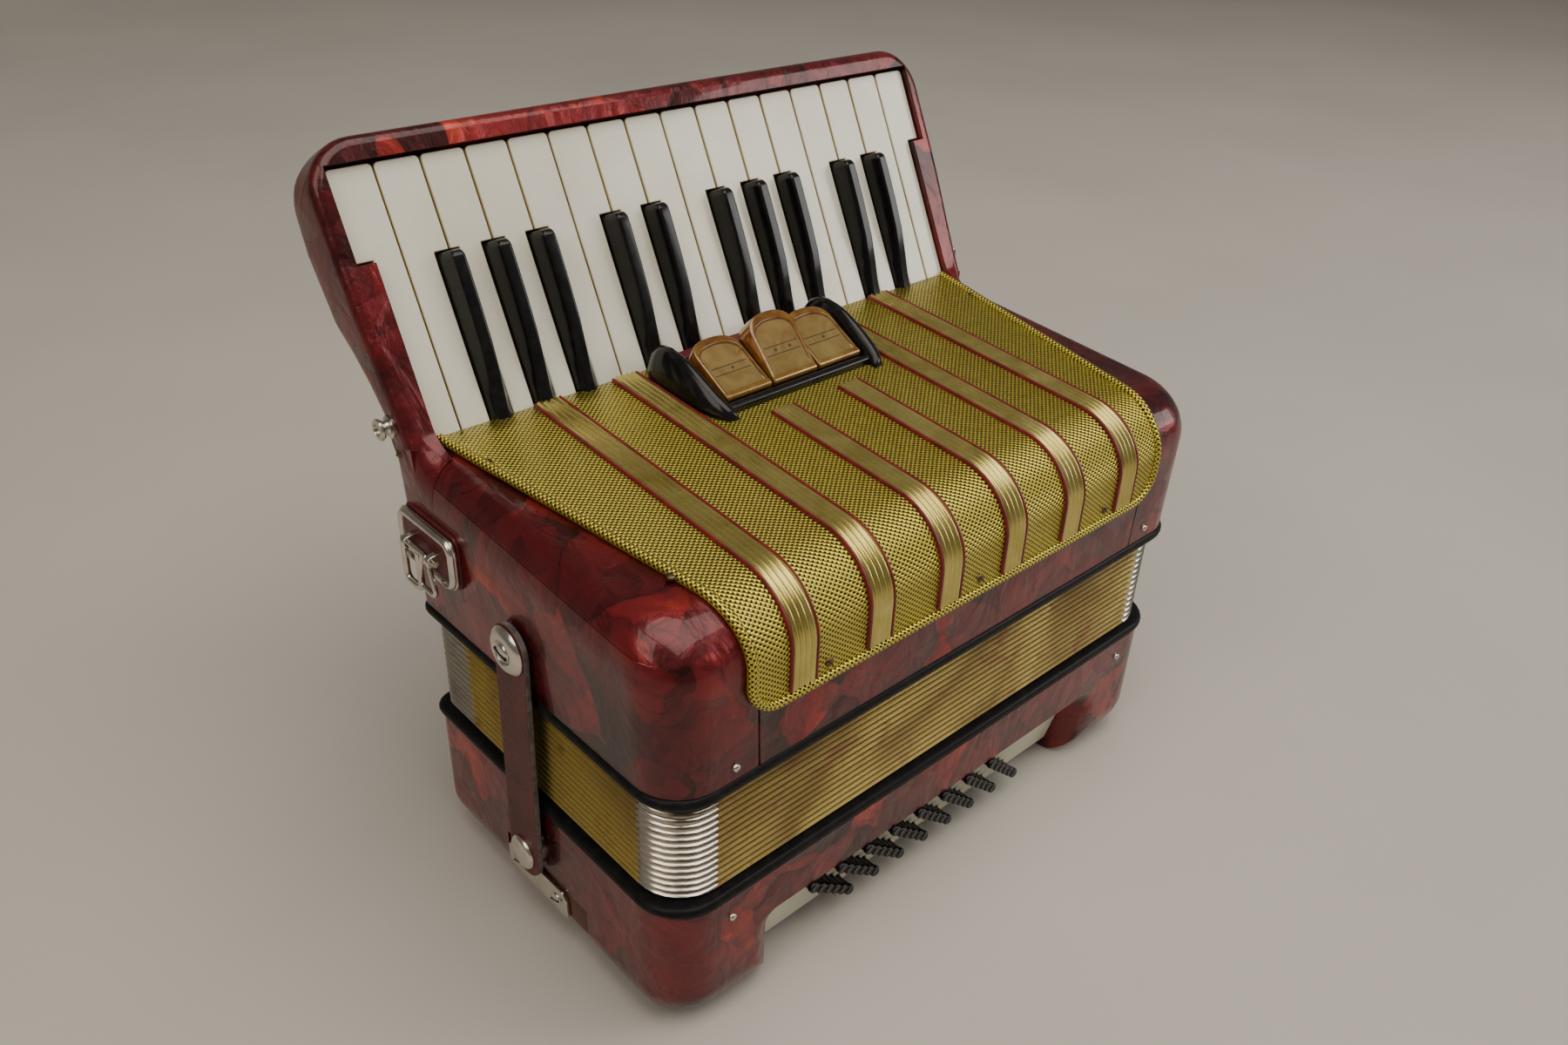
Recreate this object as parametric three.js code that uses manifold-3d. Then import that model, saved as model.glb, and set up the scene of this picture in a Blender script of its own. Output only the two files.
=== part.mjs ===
// A 26-key, 48-bass piano accordion standing on the feet of its bass end, bellows closed and strapped.
// Millimetres. X runs along the keyboard from the high notes to the low notes, -Y is the grille side,
// and +Z is the way the bellows open. Sizes below are given from the line where the keys meet the grille;
// the whole group is shifted at the end so that the origin is under the middle of the instrument.
import * as THREE from "three";
import { mergeVertices } from "three/addons/utils/BufferGeometryUtils.js";
import Module from "manifold-3d";

// ---- driving dimensions ----
const GAP = 0.3; // between pieces that touch
const FAR = 400; // longer than the instrument in any direction

// keyboard
const KEY_PITCH = 18.5;
const WHITE_KEYS = 16;
const KEYBOARD_HALF = (WHITE_KEYS * KEY_PITCH) / 2;
const KEY_JOINT = 0.7; // gap between neighbouring white keys
const KEY_LENGTH = 98.6; // from the grille to the tip
const KEY_THICK = 8;
const KEY_TAIL = 30; // hidden length under the grille
const KEY_LEAN = THREE.MathUtils.degToRad(63); // slope of the keys above the XY plane
const BLACK_LENGTH = 62.2;
const BLACK_WIDTH = 9.2;
const BLACK_TIP_HEIGHT = 8.6;
const BLACK_FOOT_HEIGHT = 3.2;
// groups of black keys, as [white-key joint at the middle of the group, keys in it, spacing]
const BLACK_GROUPS = [
  [3, 3, 19.6],
  [6.5, 2, 20.6],
  [10, 3, 19.6],
  [13.5, 2, 20.6],
];
const END_CUT_LENGTH = 65; // the end keys are narrower below here
const END_CUT = 6.8;
const AXLE_RADIUS = 1.5;
const AXLE_ALONG = -22; // place of the axle along and above the key surface
const AXLE_ABOVE = -4;

// treble casing
const BODY_FRONT = -148.2;
const BODY_BACK = 14;
const TREBLE_BOTTOM = -76.9;
const TREBLE_HALF_LOW = 148; // half length where it meets the bellows
const TREBLE_HALF_TOP = 152;
const TOP_AT_KEYS = -2.6; // height of the top surface beside the keys
const TOP_AT_FRONT = -14; // and where it would meet the front
const SHOULDER_RADIUS = 22;
const CORNER_RADIUS = 20; // upright front corners
const END_RADIUS = 15; // long edges of the ends
const BACK_RADIUS = 8;
const WALL = 5;
const COVER_HALF = 112.2; // the lift-off front cover between its two seams
const COVER_THICK = 3;
const KEY_OPENING_FRONT = -4.5;

// keyboard frame
const FRAME_HALF_LOW = 152.5;
const FRAME_HALF_TOP = 155;
const FRAME_TOP_CORNER = 20;
const FRAME_PROUD = 3; // rim above the key surface

// grille
const GRILLE_HALF_BACK = 140.8;
const GRILLE_HALF_FRONT = 116.5;
const GRILLE_BACK = -2.1;
const GRILLE_BOTTOM = -53.5;
const GRILLE_THICK = 2.3;

// soundboard, pallets and reeds
const SOUNDBOARD_TOP = -33.4;
const SOUNDBOARD_THICK = 5;
const PALLET = { width: 12, length: 20, thick: 4 };
const PALLET_ROWS = { white: -50, black: -74 }; // y of the middle of each row
const LEVER = { width: 2.4, thick: 3, z: -27.5 };

// bellows
const BELLOWS_TOP = -82.5;
const BELLOWS_BOTTOM = -128.9;
const BELLOWS_INSET = 2.5;
const BELLOWS_DEPTH = 13;
const GASKET_PROUD = 1.6;

// bass casing
const BASS_TOP = -134.3;
const FLOOR = -197;
const BASS_HALF = 148;
const BASS_BACK = 13;
const FOOT_RADIUS = 20;
const FOOT_INNER = 95; // half the space between the two feet
const FOOT_FLARE = 15;
const ARCH_TOP = -155.5;
const CAVITY_FLOOR = -171;
const DECK = { top: -144, thick: 4 };
const HAND_CEILING = -176;
const MECHANISM_FLOOR = -190;
const MECHANISM_BACK = -100;

// bass buttons
const ROWS = 6;
const COLUMNS = 8;
const BUTTON_RADIUS = 2.45;
const BUTTON_FIRST = { x: -78.5, z: -158.4 };
const ROW_STEP = { x: 5.6, z: -5.35 };
const COLUMN_PITCH = 15.5;
const BUTTON_OUT = 9;
const BUTTON_IN = 4.3; // board face to the joining bar
const BAR_HALF = 1.7;
const BOARD_THICK = 3;
const BOARD_TOP = { y: -142.5, z: -151.5 };
const BOARD_BOTTOM = { y: -133, z: -190 };

// straps and hardware
const STRAP_BAND = { y: -66, width: 56, thick: 2.7 };
const STRAP_END = -168;
const STRAP_PLATE = { y: -61, width: 42, low: -184, high: -169, thick: 1.8 };
const CLOSURE = { y: -62.7, z: -55.8, drop: 104, shift: 3, width: 20, thick: 2.5, x: 150.8 };
const BRACKET = { y: -9, z: -40, width: 40, height: 22, thick: 2.5, x: 151.6 };
const LOOP = { width: 30, drop: 18, wire: 3 };
const LOOP_AXIS_X = BRACKET.x + BRACKET.thick + 2.4;
const BOSS_RADIUS = 6; // under the screw and the stud of a closure strap
const REGISTER = { half: 47, back: -7, front: -49, cheek: 8.5, floor: 0.8, pin: 0.8 };
const REGISTER_PIVOT = { y: -43.2, z: -0.15 };
const REGISTER_LEAN = 28; // degrees
const REGISTER_IN_USE = [0, 18, 0]; // further degrees of each switch: the middle one is in use
const SWITCH = { width: 24, gap: 1.4, front: -1.2, spring: 20.5, length: 28.5, face: 1.6, taper: 0.215 };
const SWITCH_HUB = { radius: 1.9, bore: 1.1 };
const AIR = { x: 104, z: -158 };

// ---- colours ----
const paint = (color, roughness, metalness = 0) =>
  new THREE.MeshStandardMaterial({ color, roughness, metalness });
const pearl = paint(0x7a1420, 0.2);
const ivory = paint(0xe6e2d2, 0.25);
const ebony = paint(0x0b0b0d, 0.2);
const gold = paint(0xc2a23c, 0.35, 0.9);
const amber = paint(0xc98a2a, 0.15);
const nickel = paint(0xb8b4ac, 0.25, 1);
const leather = paint(0x4a1a18, 0.6);
const cloth = paint(0x9c8433, 0.5);
const felt = paint(0x101012, 0.9);
const spruce = paint(0xc49a62, 0.7);
const cream = paint(0xd5d2bc, 0.4);
const steel = paint(0x9a9a9a, 0.3, 1);

// ---- solids ----
const wasm = await Module();
wasm.setup();

// A closed geometry as a solid that can be joined and cut.
function solid(geometry) {
  const bare = geometry.index ? geometry.toNonIndexed() : geometry.clone();
  bare.deleteAttribute("normal");
  bare.deleteAttribute("uv");
  const merged = mergeVertices(bare, 1e-4);
  return new wasm.Manifold(
    new wasm.Mesh({
      numProp: 3,
      vertProperties: new Float32Array(merged.attributes.position.array),
      triVerts: new Uint32Array(merged.index.array),
    }),
  );
}

// A solid as a geometry with flat-shaded faces.
function geometryOf(body) {
  const mesh = body.getMesh();
  const geometry = new THREE.BufferGeometry();
  geometry.setAttribute("position", new THREE.BufferAttribute(mesh.vertProperties, 3));
  geometry.setIndex(new THREE.BufferAttribute(mesh.triVerts, 1));
  const flat = geometry.toNonIndexed();
  flat.computeVertexNormals();
  return flat;
}

// A closed outline from corners [x, y, radius].
function outline(corners) {
  const shape = new THREE.Shape();
  corners.forEach(([x, y, radius = 0], i) => {
    const corner = new THREE.Vector2(x, y);
    const neighbour = (step) => {
      const [nx, ny] = corners[(i + step + corners.length) % corners.length];
      return new THREE.Vector2(nx, ny).sub(corner).normalize();
    };
    const before = neighbour(-1);
    const after = neighbour(1);
    if (radius === 0) {
      i === 0 ? shape.moveTo(x, y) : shape.lineTo(x, y);
      return;
    }
    const half = Math.acos(THREE.MathUtils.clamp(before.dot(after), -1, 1)) / 2;
    const centre = before.clone().add(after).normalize().multiplyScalar(radius / Math.sin(half)).add(corner);
    const start = before.clone().multiplyScalar(radius / Math.tan(half)).add(corner);
    const end = after.clone().multiplyScalar(radius / Math.tan(half)).add(corner);
    if (i > 0) shape.lineTo(start.x, start.y);
    const angle = (p) => Math.atan2(p.y - centre.y, p.x - centre.x);
    shape.absarc(centre.x, centre.y, radius, angle(start), angle(end), before.cross(after) > 0);
  });
  shape.closePath();
  return shape;
}

const X = new THREE.Vector3(1, 0, 0);
const Y = new THREE.Vector3(0, 1, 0);
const Z = new THREE.Vector3(0, 0, 1);

// A shape swept straight from `from` to `to` along one axis; the shape is drawn in the other two.
function sweep(shape, axis, from, to, curveSegments = 8) {
  const geometry = new THREE.ExtrudeGeometry(shape, { depth: to - from, bevelEnabled: false, curveSegments });
  if (axis === "x") {
    geometry.translate(0, 0, from).applyMatrix4(new THREE.Matrix4().makeBasis(Y, Z, X));
  } else if (axis === "y") {
    geometry.translate(0, 0, -to).applyMatrix4(new THREE.Matrix4().makeBasis(X, Z, Y.clone().negate()));
  } else {
    geometry.translate(0, 0, from);
  }
  return solid(geometry);
}

function box(x0, x1, y0, y1, z0, z1) {
  const geometry = new THREE.BoxGeometry(x1 - x0, y1 - y0, z1 - z0);
  return solid(geometry.translate((x0 + x1) / 2, (y0 + y1) / 2, (z0 + z1) / 2));
}

function rod(axis, radius, from, to, u, v, segments = 16) {
  const circle = new THREE.Shape().absarc(u, v, radius, 0, Math.PI * 2, false);
  return sweep(circle, axis, from, to, segments);
}

const union = (bodies) => bodies.reduce((all, body) => all.add(body));

function part(name, body, material) {
  const mesh = new THREE.Mesh(body.isBufferGeometry ? body : geometryOf(body), material);
  mesh.name = name;
  return mesh;
}

// ---- the rounded box of the treble end, grown outwards by `grow` ----
function trebleProfile(grow, bottom) {
  const slope = (TOP_AT_KEYS - TOP_AT_FRONT) / -BODY_FRONT;
  return outline([
    [BODY_BACK + grow, bottom],
    [BODY_BACK + grow, TOP_AT_KEYS + grow],
    [0, TOP_AT_KEYS + grow],
    [BODY_FRONT - grow, TOP_AT_FRONT + grow - slope * grow, SHOULDER_RADIUS + grow],
    [BODY_FRONT - grow, bottom],
  ]);
}

function roundedPlan(half, front, back, frontRadius, backRadius) {
  return outline([
    [-half, front, frontRadius],
    [half, front, frontRadius],
    [half, back, backRadius],
    [-half, back, backRadius],
  ]);
}

function trebleBox(grow, bottom) {
  const ends = outline([
    [-TREBLE_HALF_LOW - grow, bottom],
    [TREBLE_HALF_LOW + grow, bottom],
    [TREBLE_HALF_TOP + grow, TOP_AT_KEYS + grow, END_RADIUS + grow],
    [-TREBLE_HALF_TOP - grow, TOP_AT_KEYS + grow, END_RADIUS + grow],
  ]);
  const plan = roundedPlan(
    TREBLE_HALF_TOP + grow,
    BODY_FRONT - grow,
    BODY_BACK + grow,
    CORNER_RADIUS + grow,
    Math.max(BACK_RADIUS + grow, 1),
  );
  return sweep(trebleProfile(grow, bottom), "x", -FAR, FAR, 8)
    .intersect(sweep(plan, "z", -FAR, FAR, 5))
    .intersect(sweep(ends, "y", -FAR, FAR, 5));
}

// ---- keyboard ----
const alongKey = new THREE.Vector3(0, Math.cos(KEY_LEAN), Math.sin(KEY_LEAN));
const aboveKey = new THREE.Vector3(0, -Math.sin(KEY_LEAN), Math.cos(KEY_LEAN));
const keyPoint = (along, above) =>
  alongKey.clone().multiplyScalar(along).addScaledVector(aboveKey, above);
const keyboardMatrix = new THREE.Matrix4().makeBasis(X, alongKey, aboveKey);
const toKeyboard = keyboardMatrix.clone().invert();
const axle = keyPoint(AXLE_ALONG, AXLE_ABOVE);

const jointX = (joint) => joint * KEY_PITCH - KEYBOARD_HALF;
const blackKeys = BLACK_GROUPS.flatMap(([middle, count, spacing]) =>
  Array.from({ length: count }, (_, i) => {
    const place = i - (count - 1) / 2;
    return { joint: Math.round(middle + place), x: jointX(middle) + place * spacing };
  }),
);

// Lever and pallet that a key lifts off its hole in the soundboard.
function leverAndPallet(x, row) {
  const lever = box(
    x - LEVER.width / 2,
    x + LEVER.width / 2,
    row - PALLET.length / 2 + 2,
    axle.y + 1,
    LEVER.z - LEVER.thick / 2,
    LEVER.z + LEVER.thick / 2,
  );
  const bottom = SOUNDBOARD_TOP + GAP;
  const pallet = box(
    x - PALLET.width / 2,
    x + PALLET.width / 2,
    row - PALLET.length / 2,
    row + PALLET.length / 2,
    bottom,
    bottom + PALLET.thick + 1,
  );
  return lever.add(pallet).transform(toKeyboard.toArray());
}

// Edges of a white key on one side: where its tip ends, and where its narrower tail does.
function whiteKeySide(joint, side) {
  const clear = BLACK_WIDTH / 2 + 0.6;
  const edge = jointX(joint) - (side * KEY_JOINT) / 2;
  const black = blackKeys.find((key) => key.joint === joint);
  if (black) return { edge, tail: black.x - side * clear, notch: BLACK_LENGTH + 1 };
  const end = joint === 0 || joint === WHITE_KEYS;
  if (end) return { edge, tail: edge - side * END_CUT, notch: END_CUT_LENGTH };
  return { edge, tail: edge, notch: null };
}

function whiteKey(index) {
  const left = whiteKeySide(index, -1);
  const right = whiteKeySide(index + 1, 1);
  const step = ({ edge, tail, notch }) => (notch === null ? [] : [[tail, notch], [edge, notch]]);
  const plan = outline([
    [right.tail, -KEY_TAIL],
    ...step(right),
    [right.edge, KEY_LENGTH, 1],
    [left.edge, KEY_LENGTH, 1],
    ...step(left).reverse(),
    [left.tail, -KEY_TAIL],
  ]);
  const middle = (left.tail + right.tail) / 2;
  return sweep(plan, "z", -KEY_THICK, 0, 1)
    .add(leverAndPallet(middle, PALLET_ROWS.white))
    .subtract(axleBore());
}

function blackKey({ x }) {
  const side = outline([
    [-KEY_TAIL, -KEY_THICK],
    [BLACK_LENGTH, -KEY_THICK],
    [BLACK_LENGTH, BLACK_TIP_HEIGHT, 3],
    [BLACK_LENGTH - 26, BLACK_TIP_HEIGHT - 1.4, 60],
    [3, BLACK_FOOT_HEIGHT],
    [3, 0],
    [-KEY_TAIL, 0],
  ]);
  const half = BLACK_WIDTH / 2;
  const section = outline([
    [x - half, -FAR],
    [x + half, -FAR],
    [x + half, 1],
    [x + half - 1.1, FAR * 0.03],
    [x - half + 1.1, FAR * 0.03],
    [x - half, 1],
  ]);
  const body = sweep(side, "x", x - half, x + half, 2).intersect(sweep(section, "y", -FAR, FAR));
  return body.add(leverAndPallet(x, PALLET_ROWS.black)).subtract(axleBore());
}

function axleBore() {
  return rod("x", AXLE_RADIUS + GAP, -FAR, FAR, AXLE_ALONG, AXLE_ABOVE, 8);
}

function keys() {
  const whites = Array.from({ length: WHITE_KEYS }, (_, i) =>
    part(`white_key_${String(i + 1).padStart(2, "0")}`, whiteKey(i), ivory),
  );
  const blacks = blackKeys.map((key, i) =>
    part(`black_key_${String(i + 1).padStart(2, "0")}`, blackKey(key), ebony),
  );
  const keyboard = new THREE.Group();
  keyboard.applyMatrix4(keyboardMatrix);
  keyboard.add(...whites, ...blacks);
  return keyboard;
}

// Tray round the keys, deep enough behind them for their travel.
function keyboardFrame() {
  const split = TOP_AT_KEYS + GAP;
  const at = (along, above) => {
    const p = keyPoint(along, above);
    return new THREE.Vector2(p.y, p.z);
  };
  const rim = at(0, FRAME_PROUD);
  const side = new THREE.Shape();
  side.moveTo(rim.x + (split - rim.y) / Math.tan(KEY_LEAN), split);
  side.lineTo(BODY_BACK, split);
  side.splineThru([at(10, -13.3), at(26, -15.2), at(50, -24.4), at(79, -27), at(102, -20.5)]);
  side.splineThru([at(106.5, -16.5), at(108.4, -10), at(108.2, -3), at(106, 1.6), at(102, FRAME_PROUD)]);
  side.closePath();
  const front = outline([
    [-FRAME_HALF_LOW, -60],
    [FRAME_HALF_LOW, -60],
    [FRAME_HALF_LOW, 0, 200],
    [FRAME_HALF_TOP, 60, 200],
    [FRAME_HALF_TOP, 109, FRAME_TOP_CORNER],
    [-FRAME_HALF_TOP, 109, FRAME_TOP_CORNER],
    [-FRAME_HALF_TOP, 60, 200],
    [-FRAME_HALF_LOW, 0, 200],
  ]);
  const wide = KEYBOARD_HALF + 0.3;
  const narrow = KEYBOARD_HALF - END_CUT;
  const pocketPlan = outline([
    [-narrow, -60],
    [narrow, -60],
    [narrow, END_CUT_LENGTH - 1],
    [wide, END_CUT_LENGTH - 1],
    [wide, KEY_LENGTH + 0.9],
    [-wide, KEY_LENGTH + 0.9],
    [-wide, END_CUT_LENGTH - 1],
    [-narrow, END_CUT_LENGTH - 1],
  ]);
  const pocketSide = outline([
    [-60, -9.6],
    [0, -9.6],
    [KEY_LENGTH + 2, -14.2],
    [KEY_LENGTH + 2, 30],
    [-60, 30],
  ]);
  const pocket = sweep(pocketPlan, "z", -FAR, FAR).intersect(sweep(pocketSide, "x", -FAR, FAR));
  return sweep(side, "x", -FAR, FAR, 2)
    .intersect(sweep(front, "z", -FAR, FAR, 5).transform(keyboardMatrix.toArray()))
    .subtract(pocket.transform(keyboardMatrix.toArray()));
}

// ---- treble end ----
function trebleCasing() {
  const keyOpening = box(-143.5, 143.5, KEY_OPENING_FRONT, BODY_BACK - WALL, -30, 10);
  const coverOpening = box(-COVER_HALF, COVER_HALF, -FAR, KEY_OPENING_FRONT + 1, -FAR, 10);
  const railHalf = COVER_HALF + 2;
  const railBack = BODY_FRONT + 9;
  const rail = box(-railHalf, railHalf, BODY_FRONT + COVER_THICK + GAP, railBack, TREBLE_BOTTOM, -66);
  const bores = rod("x", AXLE_RADIUS + GAP, -147, 147, axle.y, axle.z, 8);
  return trebleBox(0, TREBLE_BOTTOM)
    .subtract(trebleBox(-WALL, TREBLE_BOTTOM - 10))
    .subtract(keyOpening)
    .subtract(coverOpening)
    .add(union([rail, strapSeat(-1), strapSeat(1)]))
    .subtract(bores);
}

// Block under the shoulder-strap bracket and boss under the closure strap's screw.
function strapSeat(side) {
  const out = BRACKET.x - GAP;
  const { y, z, width, height } = BRACKET;
  const half = { y: width / 2 - 1, z: height / 2 + 1 };
  const block = box(out - WALL, out, y - half.y, y + half.y, z - half.z, z + half.z);
  const boss = rod("x", BOSS_RADIUS, out - WALL, CLOSURE.x - GAP, CLOSURE.y, CLOSURE.z, 10);
  const seat = block.add(boss);
  return side < 0 ? seat.mirror([1, 0, 0]) : seat;
}

function trebleCover() {
  const half = COVER_HALF - GAP;
  const reach = box(-half, half, -FAR, KEY_OPENING_FRONT - GAP, TREBLE_BOTTOM, 10);
  const window = box(-100, 100, -124, -22, -40, 10);
  return trebleBox(0, TREBLE_BOTTOM)
    .subtract(trebleBox(-COVER_THICK, TREBLE_BOTTOM - 10))
    .intersect(reach)
    .subtract(window);
}

function grille() {
  const plan = outline([
    [-GRILLE_HALF_FRONT, -FAR],
    [GRILLE_HALF_FRONT, -FAR],
    [GRILLE_HALF_FRONT, BODY_FRONT],
    [GRILLE_HALF_BACK, GRILLE_BACK],
    [-GRILLE_HALF_BACK, GRILLE_BACK],
    [-GRILLE_HALF_FRONT, BODY_FRONT],
  ]);
  const front = outline([
    [-GRILLE_HALF_FRONT, GRILLE_BOTTOM, 13],
    [GRILLE_HALF_FRONT, GRILLE_BOTTOM, 13],
    [GRILLE_HALF_FRONT, -38],
    [GRILLE_HALF_BACK, -36],
    [GRILLE_HALF_BACK, 20],
    [-GRILLE_HALF_BACK, 20],
    [-GRILLE_HALF_BACK, -36],
    [-GRILLE_HALF_FRONT, -38],
  ]);
  const sheet = sweep(trebleProfile(GAP + GRILLE_THICK, -FAR), "x", -FAR, FAR, 10)
    .subtract(sweep(trebleProfile(GAP, -FAR - 1), "x", -FAR, FAR, 10));
  return sheet.intersect(sweep(plan, "z", -FAR, FAR)).intersect(sweep(front, "y", -FAR, FAR));
}

function soundboard() {
  const holes = [];
  const hole = (x, row) => box(x - 4, x + 4, row - 7, row + 7, -FAR, FAR);
  for (let i = 0; i < WHITE_KEYS; i++) holes.push(hole(jointX(i + 0.5), PALLET_ROWS.white));
  blackKeys.forEach(({ x }) => holes.push(hole(x, PALLET_ROWS.black)));
  const bottom = SOUNDBOARD_TOP - SOUNDBOARD_THICK;
  const board = box(-142.5, 142.5, BODY_FRONT + 9.3, 8.7, bottom, SOUNDBOARD_TOP);
  return board.subtract(union(holes));
}

// A reed block: a comb whose chambers open to both sides.
function reedBlock(half, middle, depth, low, high, chambers) {
  const pitch = (2 * half) / chambers;
  const reach = pitch * 0.36;
  const cuts = [];
  for (let i = 0; i < chambers; i++) {
    const x = -half + pitch * (i + 0.5);
    cuts.push(box(x - reach, x + reach, middle + 3, middle + depth, low + 4, high - 4));
    cuts.push(box(x - reach, x + reach, middle - depth, middle - 3, low + 4, high - 4));
  }
  return box(-half, half, middle - depth / 2, middle + depth / 2, low, high).subtract(union(cuts));
}

// ---- bellows and its two frames ----
function ring(grow, inner, low, high) {
  const plan = (out, frontRadius, backRadius) =>
    roundedPlan(BASS_HALF + out, BODY_FRONT - out, BODY_BACK + out, frontRadius, backRadius);
  const outer = plan(grow, CORNER_RADIUS + grow, BACK_RADIUS);
  const hole = plan(-inner, CORNER_RADIUS - 5, 4);
  return sweep(outer, "z", low, high, 5).subtract(sweep(hole, "z", low - 1, high + 1, 3));
}

// ---- bass end ----
function bassEnds(inset) {
  return outline([
    [-BASS_HALF + inset, FLOOR + inset, FOOT_RADIUS - inset],
    [BASS_HALF - inset, FLOOR + inset, FOOT_RADIUS - inset],
    [BASS_HALF - inset, BASS_TOP],
    [-BASS_HALF + inset, BASS_TOP],
  ]);
}

function bassBox() {
  const plan = roundedPlan(BASS_HALF, BODY_FRONT, BASS_BACK, CORNER_RADIUS, BACK_RADIUS);
  const side = outline([
    [BODY_FRONT, FLOOR, FOOT_RADIUS],
    [BASS_BACK, FLOOR, 14],
    [BASS_BACK, BASS_TOP],
    [BODY_FRONT, BASS_TOP],
  ]);
  return sweep(bassEnds(0), "y", -FAR, FAR, 6)
    .intersect(sweep(plan, "z", -FAR, FAR, 5))
    .intersect(sweep(side, "x", -FAR, FAR, 5));
}

// The space between the feet, flared at the front where the feet are rounded off.
function betweenFeet(top) {
  const flare = FOOT_INNER + FOOT_FLARE;
  const shape = new THREE.Shape();
  shape.moveTo(-flare, -FAR);
  shape.lineTo(flare, -FAR);
  shape.lineTo(flare, BODY_FRONT);
  shape.absarc(flare, BODY_FRONT + FOOT_FLARE, FOOT_FLARE, -Math.PI / 2, -Math.PI, true);
  shape.lineTo(FOOT_INNER, FAR);
  shape.lineTo(-FOOT_INNER, FAR);
  shape.lineTo(-FOOT_INNER, BODY_FRONT + FOOT_FLARE);
  shape.absarc(-flare, BODY_FRONT + FOOT_FLARE, FOOT_FLARE, 0, -Math.PI / 2, true);
  shape.closePath();
  const arch = outline([
    [-flare, -FAR],
    [flare, -FAR],
    [flare, top, 12],
    [-flare, top, 12],
  ]);
  return sweep(shape, "z", -FAR, top, 5).intersect(sweep(arch, "y", -FAR, FAR, 4));
}

function bassCasing() {
  const inner = { x: BASS_HALF - WALL, front: BODY_FRONT + WALL, back: BASS_BACK - WALL };
  const cavity = box(-inner.x, inner.x, inner.front, inner.back, CAVITY_FLOOR, 0);
  const deckBottom = DECK.top - DECK.thick;
  const deck = box(-inner.x - 1, inner.x + 1, inner.front - 1, inner.back + 1, deckBottom, DECK.top);
  const cheek = (side) =>
    box(
      Math.min(side * FOOT_INNER, side * (FOOT_INNER + 5)),
      Math.max(side * FOOT_INNER, side * (FOOT_INNER + 5)),
      inner.front - 1,
      -124,
      CAVITY_FLOOR - 1,
      DECK.top - 1,
    );
  const front = betweenFeet(ARCH_TOP).intersect(box(-FAR, FAR, -FAR, BODY_FRONT + 17, -FAR, FAR));
  const tunnel = betweenFeet(CAVITY_FLOOR + 1);
  const strapGroove = sweep(
    outline([
      [-FAR, -FAR],
      [FAR, -FAR],
      [FAR, STRAP_END + GAP],
      [-FAR, STRAP_END + GAP],
    ]),
    "y",
    STRAP_BAND.y - STRAP_BAND.width / 2 - GAP,
    STRAP_BAND.y + STRAP_BAND.width / 2 + GAP,
  ).subtract(sweep(bassEnds(STRAP_BAND.thick + 0.8), "y", -FAR, FAR, 6));
  const airHole = rod("y", 2.8, 0, 30, AIR.x, AIR.z, 12);
  const stud = { y: CLOSURE.y + CLOSURE.shift, z: CLOSURE.z - CLOSURE.drop };
  const studBoss = rod("x", BOSS_RADIUS, BASS_HALF - 1, CLOSURE.x - GAP, stud.y, stud.z, 10);
  return bassBox()
    .subtract(cavity)
    .add(union([deck, cheek(-1), cheek(1), studBoss, studBoss.mirror([1, 0, 0])]))
    .subtract(front)
    .subtract(tunnel)
    .subtract(strapGroove)
    .subtract(airHole);
}

function airButton() {
  const profile = [
    [0, -12],
    [2.5, -12],
    [2.5, 3.8],
    [6, 3.8],
    [6, 6.4],
    [4.8, 7.6],
    [0, 7.6],
  ].map(([r, y]) => new THREE.Vector2(r, y));
  return new THREE.LatheGeometry(profile, 12).translate(AIR.x, BASS_BACK, AIR.z);
}

// Stepped plate that closes the mechanism and roofs the hand space under the strap.
function bassCover() {
  const half = FOOT_INNER - GAP;
  const front = BOARD_BOTTOM.y + BOARD_THICK + 0.6;
  const side = outline([
    [front, MECHANISM_FLOOR],
    [MECHANISM_BACK, MECHANISM_FLOOR, 3],
    [MECHANISM_BACK + 4, HAND_CEILING, 3],
    [BASS_BACK, HAND_CEILING],
    [BASS_BACK, CAVITY_FLOOR + 1 - GAP],
    [BASS_BACK - 3, CAVITY_FLOOR + 1 - GAP],
    [BASS_BACK - 3, HAND_CEILING + 3],
    [MECHANISM_BACK + 1, HAND_CEILING + 3],
    [MECHANISM_BACK - 2.4, MECHANISM_FLOOR + 2],
    [front, MECHANISM_FLOOR + 2],
  ]);
  return sweep(side, "x", -half, half, 4);
}

// Place along Y of the board's front face at a height z.
const boardFace = (z) =>
  THREE.MathUtils.mapLinear(z, BOARD_TOP.z, BOARD_BOTTOM.z, BOARD_TOP.y, BOARD_BOTTOM.y);
const buttonAt = (row, column) => ({
  x: BUTTON_FIRST.x + row * ROW_STEP.x + column * COLUMN_PITCH,
  z: BUTTON_FIRST.z + row * ROW_STEP.z,
});

function buttonBoard() {
  const half = FOOT_INNER - GAP;
  const face = outline([
    [-half, BOARD_BOTTOM.z],
    [half, BOARD_BOTTOM.z],
    [half, BOARD_TOP.z],
    [-half, BOARD_TOP.z],
  ]);
  for (let row = 0; row < ROWS; row++) {
    for (let column = 0; column < COLUMNS; column++) {
      const { x, z } = buttonAt(row, column);
      face.holes.push(new THREE.Path().absarc(x, z, BUTTON_RADIUS + GAP, 0, Math.PI * 2, true));
    }
  }
  const slab = outline([
    [BOARD_TOP.y, BOARD_TOP.z + 1],
    [boardFace(BOARD_BOTTOM.z - 1), BOARD_BOTTOM.z - 1],
    [boardFace(BOARD_BOTTOM.z - 1) + BOARD_THICK, BOARD_BOTTOM.z - 1],
    [BOARD_TOP.y + BOARD_THICK, BOARD_TOP.z + 1],
  ]);
  return sweep(face, "y", -160, -110, 6).intersect(sweep(slab, "x", -FAR, FAR));
}

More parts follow.
